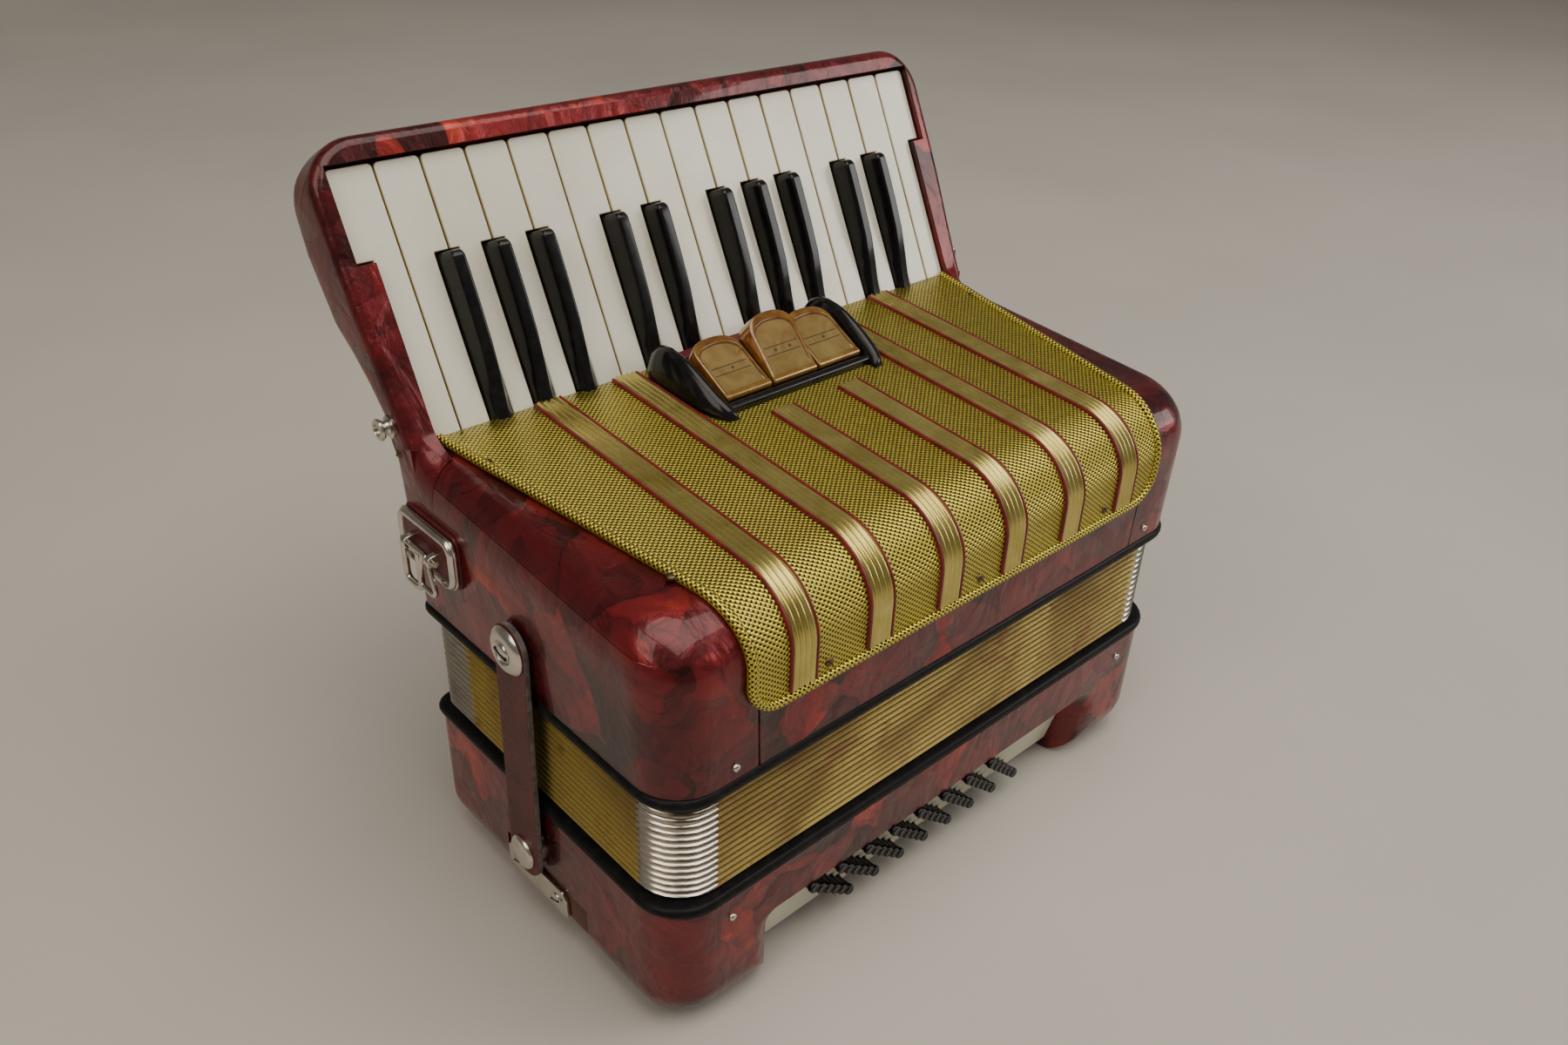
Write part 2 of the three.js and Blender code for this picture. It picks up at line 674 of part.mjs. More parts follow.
// One row of eight buttons on their common bar behind the board.
function buttonRow(row) {
  const face = boardFace(buttonAt(row, 0).z);
  const bodies = [];
  for (let column = 0; column < COLUMNS; column++) {
    const { x, z } = buttonAt(row, column);
    bodies.push(rod("y", BUTTON_RADIUS, face - BUTTON_OUT, face + BUTTON_IN + 1, x, z, 6));
  }
  const { x, z } = buttonAt(row, 0);
  const end = buttonAt(row, COLUMNS - 1).x;
  const inside = face + BUTTON_IN;
  bodies.push(box(x - 3, end + 3, inside, inside + 2 * BAR_HALF, z - BAR_HALF, z + BAR_HALF));
  return union(bodies);
}

// Leather band under the hand, round both feet and up under the end plates.
function bassStrap() {
  const outside = 0.5;
  const band = sweep(bassEnds(outside), "y", -FAR, FAR, 6)
    .subtract(sweep(bassEnds(outside + STRAP_BAND.thick), "y", -FAR, FAR, 6));
  const y0 = STRAP_BAND.y - STRAP_BAND.width / 2;
  return band.intersect(box(-FAR, FAR, y0, y0 + STRAP_BAND.width, -FAR, STRAP_END));
}

function strapPlate(side) {
  const inset = 0.2;
  const band = sweep(bassEnds(inset - STRAP_PLATE.thick), "y", -FAR, FAR, 6)
    .subtract(sweep(bassEnds(inset), "y", -FAR, FAR, 6));
  const y0 = STRAP_PLATE.y - STRAP_PLATE.width / 2;
  const x = side < 0 ? [-FAR, 0] : [0, FAR];
  return band.intersect(box(...x, y0, y0 + STRAP_PLATE.width, STRAP_PLATE.low, STRAP_PLATE.high));
}

// Strap that holds the bellows shut: round-ended, screwed to the treble end, snapped to the bass end.
function closureStrap(side) {
  const r = CLOSURE.width / 2;
  const low = CLOSURE.z - CLOSURE.drop;
  const shape = new THREE.Shape();
  shape.absarc(CLOSURE.y, CLOSURE.z, r, 0, Math.PI, false);
  shape.absarc(CLOSURE.y + CLOSURE.shift, low, r, Math.PI, Math.PI * 2, false);
  shape.closePath();
  const x = [side * CLOSURE.x, side * (CLOSURE.x + CLOSURE.thick)].sort((a, b) => a - b);
  return sweep(shape, "x", x[0], x[1], 8);
}

// Plate on the end of the treble casing, with two ears that hold the loop's wire.
function strapBracket(side) {
  const { y, z, width, height, thick, x } = BRACKET;
  const plate = sweep(
    outline([
      [y - width / 2, z - height / 2, 5],
      [y + width / 2, z - height / 2, 5],
      [y + width / 2, z + height / 2, 5],
      [y - width / 2, z + height / 2, 5],
    ]),
    "x",
    x,
    x + thick,
    5,
  );
  const ear = (at) =>
    box(x + thick - 0.5, x + thick + 5, at - 1.6, at + 1.6, z - 3.2, z + 3.2)
      .subtract(rod("y", LOOP.wire / 2 + GAP, at - 3, at + 3, LOOP_AXIS_X, z, 8));
  const body = union([plate, ear(y - LOOP.width / 2 + 7), ear(y + LOOP.width / 2 - 7)]);
  return side < 0 ? body.mirror([1, 0, 0]) : body;
}

// Wire loop that the shoulder strap passes through, hanging from the ears.
function strapLoop(side) {
  const { width, drop, wire } = LOOP;
  const y = BRACKET.y;
  const top = BRACKET.z;
  const half = width / 2 - wire / 2;
  const sides = [
    rod("y", wire / 2, y - half, y + half, LOOP_AXIS_X, top, 8),
    rod("y", wire / 2, y - half, y + half, LOOP_AXIS_X, top - drop, 8),
    rod("z", wire / 2, top - drop - 0.6, top + 0.6, LOOP_AXIS_X, y - half, 8),
    rod("z", wire / 2, top - drop - 0.6, top + 0.6, LOOP_AXIS_X, y + half, 8),
  ];
  const body = union(sides);
  return side < 0 ? body.mirror([1, 0, 0]) : body;
}

// ---- registers ----
function registerHousing() {
  const { half, back, front, cheek, floor, pin } = REGISTER;
  const onGrille = TOP_AT_KEYS + GRILLE_THICK + 2 * GAP;
  const top = (y) => onGrille + (y * (TOP_AT_KEYS - TOP_AT_FRONT)) / -BODY_FRONT;
  const cheekSide = outline([
    [front - 4, top(front - 4)],
    [back, top(back)],
    [back + 1, top(back) + 15, 5],
    [back - 16, top(back) + 14, 12],
    [front - 4, top(front - 4) + 3, 1],
  ]);
  const cheeks = [-1, 1].map((side) =>
    sweep(cheekSide, "x", side < 0 ? -half : half - cheek, side < 0 ? -half + cheek : half, 4),
  );
  const deck = outline([
    [front, top(front)],
    [back, top(back)],
    [back, top(back) + floor],
    [front, top(front) + floor],
  ]);
  const bar = outline([
    [front, top(front)],
    [front + 3, top(front + 3)],
    [front + 3, top(front) + 4, 1],
    [front, top(front) + 4, 1],
  ]);
  return union([
    ...cheeks,
    sweep(deck, "x", -half + 1, half - 1),
    sweep(bar, "x", -half + 1, half - 1, 3),
    rod("x", pin, -half + 2, half - 2, REGISTER_PIVOT.y, REGISTER_PIVOT.z, 8),
  ]);
}

// Arched wedge with a hub at its thin front end, tilted about the pivot rod by its rest angle.
function registerSwitch(index) {
  const { width, gap, front, spring, length, face, taper } = SWITCH;
  const { radius: hub, bore } = SWITCH_HUB;
  const x = (index - 1) * (width + gap);
  const half = width / 2;
  const deepest = -hub - (length + 1) * taper;
  const arch = new THREE.Shape();
  arch.moveTo(-half, front);
  arch.lineTo(half, front);
  arch.lineTo(half, spring);
  arch.quadraticCurveTo(half - 1, length - 2, 0, length);
  arch.quadraticCurveTo(-half + 1, length - 2, -half, spring);
  arch.closePath();
  const under = outline([
    [-half, 0],
    [0, 0],
    [0, -hub],
    [length + 1, deepest],
    [length + 1, deepest - 2],
    [-half, deepest - 2],
  ]);
  const wedge = sweep(arch, "z", deepest - 1, face, 4).subtract(sweep(under, "x", -half - 1, half + 1));
  const barrel = rod("x", hub, -half, half, 0, 0, 8);
  const body = union([wedge, barrel]).subtract(rod("x", bore, -FAR, FAR, 0, 0, 8));
  const lean = THREE.MathUtils.degToRad(REGISTER_LEAN + REGISTER_IN_USE[index]);
  const tilt = new THREE.Matrix4().makeRotationX(lean);
  const place = new THREE.Matrix4().makeTranslation(x, REGISTER_PIVOT.y, REGISTER_PIVOT.z);
  return body.transform(place.multiply(tilt).toArray());
}

// ---- the instrument ----
const soundboardBottom = SOUNDBOARD_TOP - SOUNDBOARD_THICK;
const accordion = new THREE.Group();
accordion.add(
  part("treble_casing", trebleCasing(), pearl),
  part("keyboard_frame", keyboardFrame(), pearl),
  part("treble_cover", trebleCover(), pearl),
  part("grille", grille(), gold),
  part("keyboard_axle", rod("x", AXLE_RADIUS, -146.5, 146.5, axle.y, axle.z, 8), steel),
  part("treble_soundboard", soundboard(), spruce),
  part("treble_reed_block", reedBlock(130, -62, 46, -74, soundboardBottom - GAP, 16), spruce),
  part("treble_gasket", ring(GASKET_PROUD, 12, BELLOWS_TOP + GAP, TREBLE_BOTTOM - GAP), felt),
  part("bellows", ring(-BELLOWS_INSET, BELLOWS_INSET + BELLOWS_DEPTH, BELLOWS_BOTTOM, BELLOWS_TOP), cloth),
  part("bass_gasket", ring(GASKET_PROUD, 12, BASS_TOP + GAP, BELLOWS_BOTTOM - GAP), felt),
  part("bass_casing", bassCasing(), pearl),
  part("bass_cover", bassCover(), pearl),
  part("bass_reed_block", reedBlock(120, -62, 60, DECK.top + GAP, -108, 12), spruce),
  part("button_board", buttonBoard(), cream),
  part("bass_strap", bassStrap(), leather),
  part("air_button", airButton(), cream),
  part("register_housing", registerHousing(), ebony),
  keys(),
);
for (let row = 0; row < ROWS; row++) {
  accordion.add(part(`bass_button_row_${row + 1}`, buttonRow(row), ebony));
}
["left", "middle", "right"].forEach((name, i) => {
  accordion.add(part(`register_switch_${name}`, registerSwitch(i), amber));
});
for (const [name, side] of [["left", -1], ["right", 1]]) {
  accordion.add(
    part(`bass_strap_plate_${name}`, strapPlate(side), nickel),
    part(`closure_strap_${name}`, closureStrap(side), leather),
    part(`strap_bracket_${name}`, strapBracket(side), nickel),
    part(`strap_loop_${name}`, strapLoop(side), nickel),
  );
}

// Stand the feet on z = 0 and put the origin under the middle.
const bounds = new THREE.Box3().setFromObject(accordion, true);
accordion.position.set(0, -(bounds.min.y + bounds.max.y) / 2, -FLOOR);

export default accordion;
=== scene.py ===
from math import asin, atan2, ceil, copysign, cos, degrees, dist, pi, radians, sin, sqrt, tan, tau

import bmesh
import bpy
from mathutils import Matrix, Vector


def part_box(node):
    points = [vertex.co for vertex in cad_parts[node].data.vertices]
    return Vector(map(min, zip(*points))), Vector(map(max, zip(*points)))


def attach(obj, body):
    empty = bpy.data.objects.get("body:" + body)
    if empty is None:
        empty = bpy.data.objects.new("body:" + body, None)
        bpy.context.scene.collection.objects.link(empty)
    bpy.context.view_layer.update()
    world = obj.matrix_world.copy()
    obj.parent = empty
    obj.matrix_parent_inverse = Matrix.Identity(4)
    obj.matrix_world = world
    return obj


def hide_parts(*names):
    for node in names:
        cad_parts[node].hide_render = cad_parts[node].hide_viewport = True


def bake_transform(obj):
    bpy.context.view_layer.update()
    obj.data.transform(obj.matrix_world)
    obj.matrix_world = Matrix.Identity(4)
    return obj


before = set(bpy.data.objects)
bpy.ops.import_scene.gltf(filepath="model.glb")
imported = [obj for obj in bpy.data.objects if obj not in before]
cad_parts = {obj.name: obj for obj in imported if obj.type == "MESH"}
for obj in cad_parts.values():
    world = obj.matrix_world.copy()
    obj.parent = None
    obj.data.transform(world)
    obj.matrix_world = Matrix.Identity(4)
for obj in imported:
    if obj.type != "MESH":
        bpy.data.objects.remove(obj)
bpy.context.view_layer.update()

# A 26-key, 48-bass piano accordion standing on its bass end. Sizes are in millimetres from the
# middle of the line where the keys meet the grille: X along the keyboard, -Y the grille side,
# +Z the way the bellows opens. `at` turns them into the frame's metres.
MM = 0.001
BODY_BACK = 14
FLOOR = -197
CASING_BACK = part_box("treble_casing")[1].y
CASING_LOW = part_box("bass_casing")[0].z
LINE = Vector((0, CASING_BACK - BODY_BACK * MM, CASING_LOW - FLOOR * MM))

# treble end
BODY_FRONT = -148.2
TREBLE_BOTTOM = -76.9
TREBLE_HALF_LOW = 148
TREBLE_HALF_TOP = 152
TOP_AT_KEYS = -2.6
TOP_SLOPE = 11.4 / 148.2
SHOULDER = 22  # depth of the rounding at the front
SHOULDER_DROP = 20
END_ROUNDING = 13
CORNER = 20
SEAM = 112.2  # of the lift-off front cover
SEAM_HALF = 0.5
SEAM_DEPTH = 0.9
END_LINE_DEPTH = 0.45
END_SEAM_DROP = 9.5  # line along the ends, below the top
WALL = 3

# keyboard
KEY_PITCH = 18.5
WHITE_KEYS = 16
KEYBOARD_HALF = WHITE_KEYS * KEY_PITCH / 2
KEY_JOINT = 0.7
KEY_LENGTH = 98.6
KEY_THICK = 8
KEY_LEAN = radians(63)
BLACK_LENGTH = 62.2
BLACK_HALF = 4.6
# middle joint, keys, spacing
BLACK_GROUPS = [(3, 3, 19.6), (6.5, 2, 20.6), (10, 3, 19.6), (13.5, 2, 20.6)]
END_CUT_LENGTH = 65
END_CUT = 6.8
FRAME_HALF_LOW = 152.5
FRAME_HALF_TOP = 155
FRAME_TOP = 109
FRAME_CORNER = 20
FRAME_PROUD = 3

# grille
GRILLE_HALF_BACK = 140.8
GRILLE_HALF_FRONT = 116.5
GRILLE_BACK = -1.6
GRILLE_BOTTOM = -52
GRILLE_CORNER = 13
GRILLE_LIFT = 1.4
MESH_PITCH = 2.6
BAND_HALF = 6.4
# place along X: where it starts
BANDS = {-92.5: -2, -55.5: -2, -18.5: -57, 18.5: -57, 55.5: -2, 92.5: -2}
SCREWS_ON_GRILLE = [(-134, -26), (134, -26), (-122, -117), (122, -117)]
SCREWS_ON_FRONT = [(-80, -46), (0, -46), (80, -46)]
PINS = {"treble": (119.9, -71.6), "bass": (120.2, -143.9)}

# bellows and gaskets
BELLOWS_TOP = -82.5
BELLOWS_BOTTOM = -128.9
BELLOWS_FOLDS = 15
BELLOWS_INSET = 2.5
FOLD_DEPTH = 7
METAL_CORNER = 24  # length of the metal along each side from the corner

# bass end
BASS_TOP = -134.3
BASS_HALF = 148
BASS_BACK = 13
FOOT_ROUNDING = 20
FOOT_INNER = 95
FOOT_FLARE = 15
ARCH_TOP = -155.5
TUNNEL_TOP = -170
GROOVE_TOP = -167.7  # of the hand strap's groove at its ends
BUTTON_RADIUS = 2.45
BUTTON_ROWS = 6
BUTTON_COLUMNS = 8
BUTTON_FIRST = (-78.5, -158.4)
ROW_STEP = (5.6, -5.35)
COLUMN_PITCH = 15.5
BUTTON_OUT = 9
BOARD_Y = -142.5  # the board's face at its top edge
BOARD_Z = -151.5
BOARD_SLOPE = 9.5 / 38.5
AIR = (104, -158)

# straps and hardware
STRAP_BACK = -38
STRAP_FRONT = -94
STRAP_THICK = 2.7
CLOSURE = (-62.7, -55.8)
CLOSURE_FOOT = (-59.7, -159.8)
CLOSURE_X = 150.8
STRAP_LEATHER = 2.5
BRACKET = (-9, -40)
BRACKET_X = 151.6
LOOP_X = 156.5

# registers
REGISTER_INNER = 38.3  # inner side of the cheeks
CHEEK = [  # y, height, half width
    (-4.6, 0.4, 0.4), (-4.8, 4.6, 3.0), (-5.8, 9.2, 4.3), (-8, 12.8, 5.0), (-12, 15.2, 5.3),
    (-17, 16.0, 5.4), (-23, 15.6, 5.4), (-29, 14.2, 5.4), (-35, 12.0, 5.2), (-41, 9.4, 4.9),
    (-46.5, 6.8, 4.3), (-50.5, 4.8, 3.4), (-52.8, 3.1, 2.5), (-53.8, 1.2, 1.4),
]
REGISTER_PIVOT = (-43.2, -0.15)
REGISTER_LEAN = 28
REGISTER_IN_USE = (0, 18, 0)
SWITCH_PITCH = 25.4
SWITCH_FACE = 1.6
SWITCH_HUB = 1.9
SWITCH_TAPER = 0.215
SWITCH_DOTS = ((0.8,), (-3.6, 4.2), (0.8,))


def at(x, y, z):
    return Vector((x, y, z)) * MM + LINE


# ---- materials ----
class Look:
    """A procedural material: `values` go straight on the shader, and nodes are added by kind."""

    def __init__(self, name, **values):
        self.material = bpy.data.materials.new(name)
        self.material.use_nodes = True
        self.tree = self.material.node_tree
        self.shader = self.tree.nodes["Principled BSDF"]
        self.set(**values)

    def feed(self, socket, value):
        if isinstance(value, bpy.types.NodeSocket):
            self.tree.links.new(value, socket)
        else:
            socket.default_value = value

    def set(self, **sockets):
        for key, value in sockets.items():
            self.feed(self.shader.inputs[key.replace("_", " ")], value)
        return self

    def node(self, kind, inputs=(), **settings):
        node = self.tree.nodes.new("ShaderNode" + kind)
        for key, value in settings.items():
            setattr(node, key, value)
        for key, value in dict(inputs).items():
            self.feed(node.inputs[key], value)
        return node

    def place(self, scale=(1, 1, 1)):
        coordinates = self.node("TexCoord").outputs["Object"]
        return self.node("Mapping", {"Vector": coordinates, "Scale": scale}).outputs["Vector"]

    def noise(self, scale, detail=3, distortion=0.0, vector=None, output="Fac"):
        inputs = {"Vector": vector or self.place(), "Scale": scale, "Detail": detail}
        return self.node("TexNoise", {**inputs, "Distortion": distortion}).outputs[output]

    def cells(self, scale, vector=None, **settings):
        inputs = {"Vector": vector or self.place(), "Scale": scale}
        return self.node("TexVoronoi", inputs, **settings).outputs

    def math(self, operation, a, b=0.0):
        return self.node("Math", {0: a, 1: b}, operation=operation).outputs[0]

    def vector_math(self, operation, a, b):
        return self.node("VectorMath", {0: a, 1: b}, operation=operation).outputs

    def ramp(self, value, *stops):
        node = self.node("ValToRGB", {"Fac": value})
        elements = node.color_ramp.elements
        while len(elements) < len(stops):
            elements.new(0.5)
        for element, (position, color) in zip(elements, stops):
            element.position = position
            element.color = (*color, 1)
        return node.outputs["Color"]

    def mask(self, value, low, high):
        return self.ramp(value, (low, (0, 0, 0)), (high, WHITE))

    def mix(self, factor, a, b, blend="MIX"):
        node = self.node("Mix", data_type="RGBA", blend_type=blend)
        self.feed(node.inputs[0], factor)
        for number, color in ((6, a), (7, b)):
            fixed = not isinstance(color, bpy.types.NodeSocket)
            self.feed(node.inputs[number], (*color, 1) if fixed else color)
        return node.outputs[2]

    def finish(self, color, roughness, height, strength, depth):
        """Sets colour, roughness as (value, low, high), and bump with its depth in millimetres."""
        self.set(Base_Color=color)
        if roughness:
            value, low, high = roughness
            inputs = {"Value": value, "To Min": low, "To Max": high}
            self.set(Roughness=self.node("MapRange", inputs).outputs["Result"])
        inputs = {"Height": height, "Strength": strength, "Distance": depth * MM}
        return self.set(Normal=self.node("Bump", inputs).outputs["Normal"]).material


WHITE = (1, 1, 1)


def pearl_look():
    """Overlapping flakes, each shaded from dark to bright its own way, with dark creases."""
    look = Look("pearl_celluloid", Metallic=0.4, Roughness=0.3, Specular_IOR_Level=0.35)
    look.set(Coat_Weight=0.4, Coat_Roughness=0.04)
    warp = look.noise(30.0, 3.0, output="Color")
    shift = look.node("VectorMath", {0: warp, "Scale": 0.028}, operation="SCALE").outputs[0]
    bent = look.vector_math("ADD", look.place(), shift)[0]
    sheen = 0.5
    for scale, reach in ((28.0, 24.0), (75.0, 26.0)):
        flakes = look.cells(scale, bent)
        away = look.vector_math("SUBTRACT", bent, flakes["Position"])[0]
        ways = look.vector_math("SUBTRACT", flakes["Color"], (0.5, 0.5, 0.5))[0]
        slope = look.vector_math("DOT_PRODUCT", away, ways)["Value"]
        sheen = look.math("ADD", sheen, look.math("MULTIPLY", slope, reach))
    cloud = look.noise(11.0, 4, 1.2)
    fibres = look.noise(34.0, 6, 2.6, look.place((1.3, 1.0, 0.8)))
    for shade, share in ((cloud, 0.7), (fibres, 0.4)):
        swing = look.math("MULTIPLY", look.math("SUBTRACT", shade, 0.5), share)
        sheen = look.math("ADD", sheen, swing)
    color = look.ramp(
        sheen,
        (0.12, (0.030, 0.003, 0.004)),
        (0.38, (0.100, 0.008, 0.011)),
        (0.60, (0.165, 0.012, 0.016)),
        (0.80, (0.245, 0.016, 0.018)),
        (1.0, (0.44, 0.045, 0.024)),
    )
    edge = look.cells(28.0, bent, feature="DISTANCE_TO_EDGE")["Distance"]
    crease = look.ramp(edge, (0.0, (0.22, 0.16, 0.15)), (0.035, WHITE))
    color = look.mix(0.4, color, crease, "MULTIPLY")
    streaks = look.noise(20.0, 5, 2.4, look.place((1.1, 1.0, 0.8)))
    streak = look.ramp(streaks, (0.485, WHITE), (0.5, (0.32, 0.22, 0.22)), (0.515, WHITE))
    return look.finish(look.mix(0.6, color, streak, "MULTIPLY"), None, sheen, 0.5, 5.0)


def cloudy_look(name, near, far, cloud, rough, grain, **values):
    """Two colours, each with its place, blended by a noise.

    The noises are (scale, detail, distortion) for the colour, (scale, detail, low, high) for the
    roughness, and (scale, detail, strength, depth) for the bump.
    """
    look = Look(name, **values)
    shade = look.noise(*cloud)
    if rough:
        rough = (look.noise(*rough[:2]), *rough[2:])
    return look.finish(look.ramp(shade, near, far), rough, look.noise(*grain[:2]), *grain[2:])


def ivory_look(name, light, dark):
    coat = {"Coat_Weight": 0.35, "Coat_Roughness": 0.08, "Subsurface_Weight": 0.05}
    rough, grain = (140.0, 3, 0.16, 0.34), (900.0, 2, 0.04, 0.1)
    return cloudy_look(name, (0.42, light), (0.75, dark), (22.0, 4, 0.6), rough, grain, **coat)


def black_look(name, roughness=0.12, shine=0.3):
    coat = {"Coat_Weight": shine * 0.5, "Coat_Roughness": 0.05, "Specular_IOR_Level": shine}
    near, far = (0.45, (0.004, 0.004, 0.005)), (0.85, (0.014, 0.013, 0.013))
    rough = (90.0, 3, roughness, roughness + 0.14)
    return cloudy_look(name, near, far, (260.0, 5), rough, (500.0, 2, 0.05, 0.1), **coat)


def gold_look():
    near, far = (0.3, (0.50, 0.41, 0.11)), (0.7, (0.68, 0.585, 0.21))
    rough, grain = (150.0, 4, 0.16, 0.34), (700.0, 2, 0.06, 0.1)
    return cloudy_look("gold_band", near, far, (60.0, 5, 0.8), rough, grain, Metallic=0.9)


def amber_look(name, light, dark, glow):
    coat = {"Roughness": 0.12, "Coat_Weight": 0.8, "Coat_Roughness": 0.05, "Metallic": 0.35}
    coat["Subsurface_Weight"] = glow
    grain = (160.0, 2, 0.08, 0.4)
    return cloudy_look(name, (0.3, dark), (0.7, light), (90.0, 3, 1.5), None, grain, **coat)


def plain_look(name, light, dark, roughness, scale=80.0, bump=0.05):
    rough = (scale * 2, 3, roughness, roughness + 0.15)
    grain = (scale * 6, 2, bump, 0.15)
    return cloudy_look(name, (0.35, dark), (0.7, light), (scale, 4), rough, grain)


def floor_look():
    near, far = (0.3, (0.50, 0.47, 0.43)), (0.7, (0.55, 0.52, 0.475))
    grain = (120.0, 3, 0.03, 0.3)
    return cloudy_look("studio_floor", near, far, (3.0, 4), None, grain, Roughness=0.55)


def metal_look(name, light, dark, roughness):
    look = Look(name, Metallic=1.0)
    smudge = look.noise(120.0, 6, 0.6)
    color = look.ramp(smudge, (0.5, light), (0.8, dark))
    rough = (smudge, roughness, roughness + 0.2)
    return look.finish(color, rough, look.noise(300.0, 2), 0.02, 0.05)


def grille_look():
    look = Look("grille_mesh", Metallic=0.85)
    uv = look.node("TexCoord").outputs["UV"]
    parts = look.node("SeparateXYZ", {"Vector": uv}).outputs
    waves = []
    for axis, pitch in (("X", MESH_PITCH), ("Y", MESH_PITCH * 0.8)):
        phase = look.math("MULTIPLY", parts[axis], tau / (pitch * MM))
        waves.append(look.math("COSINE", phase))
    weave = look.math("MULTIPLY", *waves)
    knots = look.math("ADD", look.math("MULTIPLY", weave, 0.5), 0.5)
    gold = look.mix(look.noise(14.0, 3, 0.5), (0.62, 0.51, 0.055), (0.76, 0.65, 0.12))
    hole = look.ramp(knots, (0.22, (0.035, 0.022, 0.004)), (0.56, WHITE))
    color = look.mix(1.0, gold, hole, "MULTIPLY")
    return look.finish(color, (look.noise(220.0, 2), 0.2, 0.36), knots, 0.7, 0.5)


def cloth_look(name, light, dark, worn):
    look = Look(name, Metallic=0.35, Sheen_Weight=0.2)
    threads = look.cells(1500.0, look.place((1, 1, 2.2)))["Distance"]
    patch = look.mask(look.noise(16.0, 5, 1.2), 0.42, 0.68)
    rubbed = look.mask(look.noise(70.0, 6, 0.8), 0.56, 0.7)
    color = look.mix(patch, light, dark)
    color = look.mix(look.math("MULTIPLY", rubbed, 0.75), color, worn)
    color = look.mix(look.math("MULTIPLY", threads, 0.5), color, dark)
    return look.finish(color, (patch, 0.34, 0.6), threads, 0.4, 0.25)


def leather_look(name, color, dark, roughness=0.42):
    look = Look(name)
    grain = look.cells(900.0)["Distance"]
    creases = look.noise(300.0, 6, 1.0)
    color = look.mix(look.mask(look.noise(60.0, 5), 0.4, 0.7), color, dark)
    height = look.math("ADD", grain, creases)
    return look.finish(color, (creases, roughness, roughness + 0.25), height, 0.5, 0.35)


def wood_look():
    look = Look("spruce_wood", Roughness=0.65)
    inputs = {"Vector": look.place((1, 6, 6)), "Scale": 40.0, "Distortion": 3.0}
    rings = look.node("TexWave", inputs).outputs["Fac"]
    color = look.ramp(rings, (0.2, (0.62, 0.44, 0.24)), (0.9, (0.45, 0.28, 0.13)))
    return look.finish(color, None, rings, 0.1, 0.2)


PEARL = pearl_look()
IVORY = ivory_look("key_ivory", (0.80, 0.77, 0.665), (0.74, 0.69, 0.555))
# Darker copy of the ivory for the key sides: painted shade between the keys.
IVORY_SIDE_PAINTED_SHADE = ivory_look("key_ivory_side_painted_shade", (0.52, 0.43, 0.22), (0.40, 0.31, 0.14))
EBONY = black_look("key_black")
TRIM = black_look("black_trim", 0.5, 0.15)
# Near-black painted shade, for screw slots and the floor under the keys.
PAINTED_SHADE_BLACK = plain_look("painted_shade_black", (0.03, 0.022, 0.02), (0.01, 0.008, 0.008), 0.8)
MESH = grille_look()
GOLD = gold_look()
PIPING = plain_look("red_piping", (0.21, 0.014, 0.018), (0.12, 0.007, 0.011), 0.3, 200.0)
RED_PLASTIC = plain_look("dark_red_strip", (0.12, 0.012, 0.018), (0.07, 0.006, 0.010), 0.35, 120.0)
CLOTH_SHADES = (0.43, 0.32, 0.07), (0.23, 0.15, 0.035), (0.20, 0.07, 0.025)
BELLOWS = cloth_look("bellows_cloth", *CLOTH_SHADES)
# Dark brown painted shade on the flanks of the bellows folds.
VALLEY_PAINTED_SHADE = plain_look("bellows_valley_painted_shade", (0.045, 0.020, 0.010), (0.018, 0.009, 0.005), 0.85)
LEATHER = leather_look("maroon_leather", (0.10, 0.018, 0.017), (0.055, 0.010, 0.011))
BROWN_LEATHER = leather_look("brown_leather", (0.12, 0.05, 0.028), (0.06, 0.024, 0.015))
CUT_EDGE = plain_look("leather_cut_edge", (0.22, 0.19, 0.17), (0.09, 0.07, 0.065), 0.8, 300.0, 0.4)
NICKEL = metal_look("nickel", (0.66, 0.62, 0.55), (0.46, 0.42, 0.36), 0.1)
DULL_METAL = metal_look("aged_brass", (0.16, 0.11, 0.06), (0.07, 0.05, 0.03), 0.35)
STEEL = metal_look("steel", (0.60, 0.60, 0.60), (0.40, 0.40, 0.40), 0.3)
# Amber walls: the plastic's own colour, with a painted glow of light through it.
AMBER_AND_PAINTED_GLOW = amber_look("amber_wall_and_painted_glow", (0.44, 0.225, 0.040), (0.25, 0.095, 0.010), 0.3)
RIM = amber_look("amber_edge", (0.30, 0.165, 0.035), (0.15, 0.065, 0.012), 0.25)
TAN = amber_look("amber_face", (0.38, 0.26, 0.095), (0.28, 0.175, 0.050), 0.2)
MARK = plain_look("dark_mark", (0.06, 0.03, 0.015), (0.03, 0.015, 0.008), 0.5)
CREAM = plain_look("cream_board", (0.70, 0.69, 0.55), (0.62, 0.60, 0.46), 0.32, 40.0)
SPRUCE = wood_look()

# The slot for each first look, unless a piece names another; piece looks it up but does not assign
# it.
SLOTS = {
    PEARL: "pearl_celluloid",
    RED_PLASTIC: "pearl_celluloid",
    IVORY: "key_ivory",
    EBONY: "key_black",
    TRIM: "black_trim",
    PAINTED_SHADE_BLACK: "black_trim",
    MESH: "grille_cloth",
    GOLD: "grille_cloth",
    LEATHER: "leather",
    BROWN_LEATHER: "leather",
    NICKEL: "nickel",
    AMBER_AND_PAINTED_GLOW: "amber_plastic",
    MARK: "amber_plastic",
    CREAM: "cream_board",
}
SIDES = ((-1, "left"), (1, "right"))


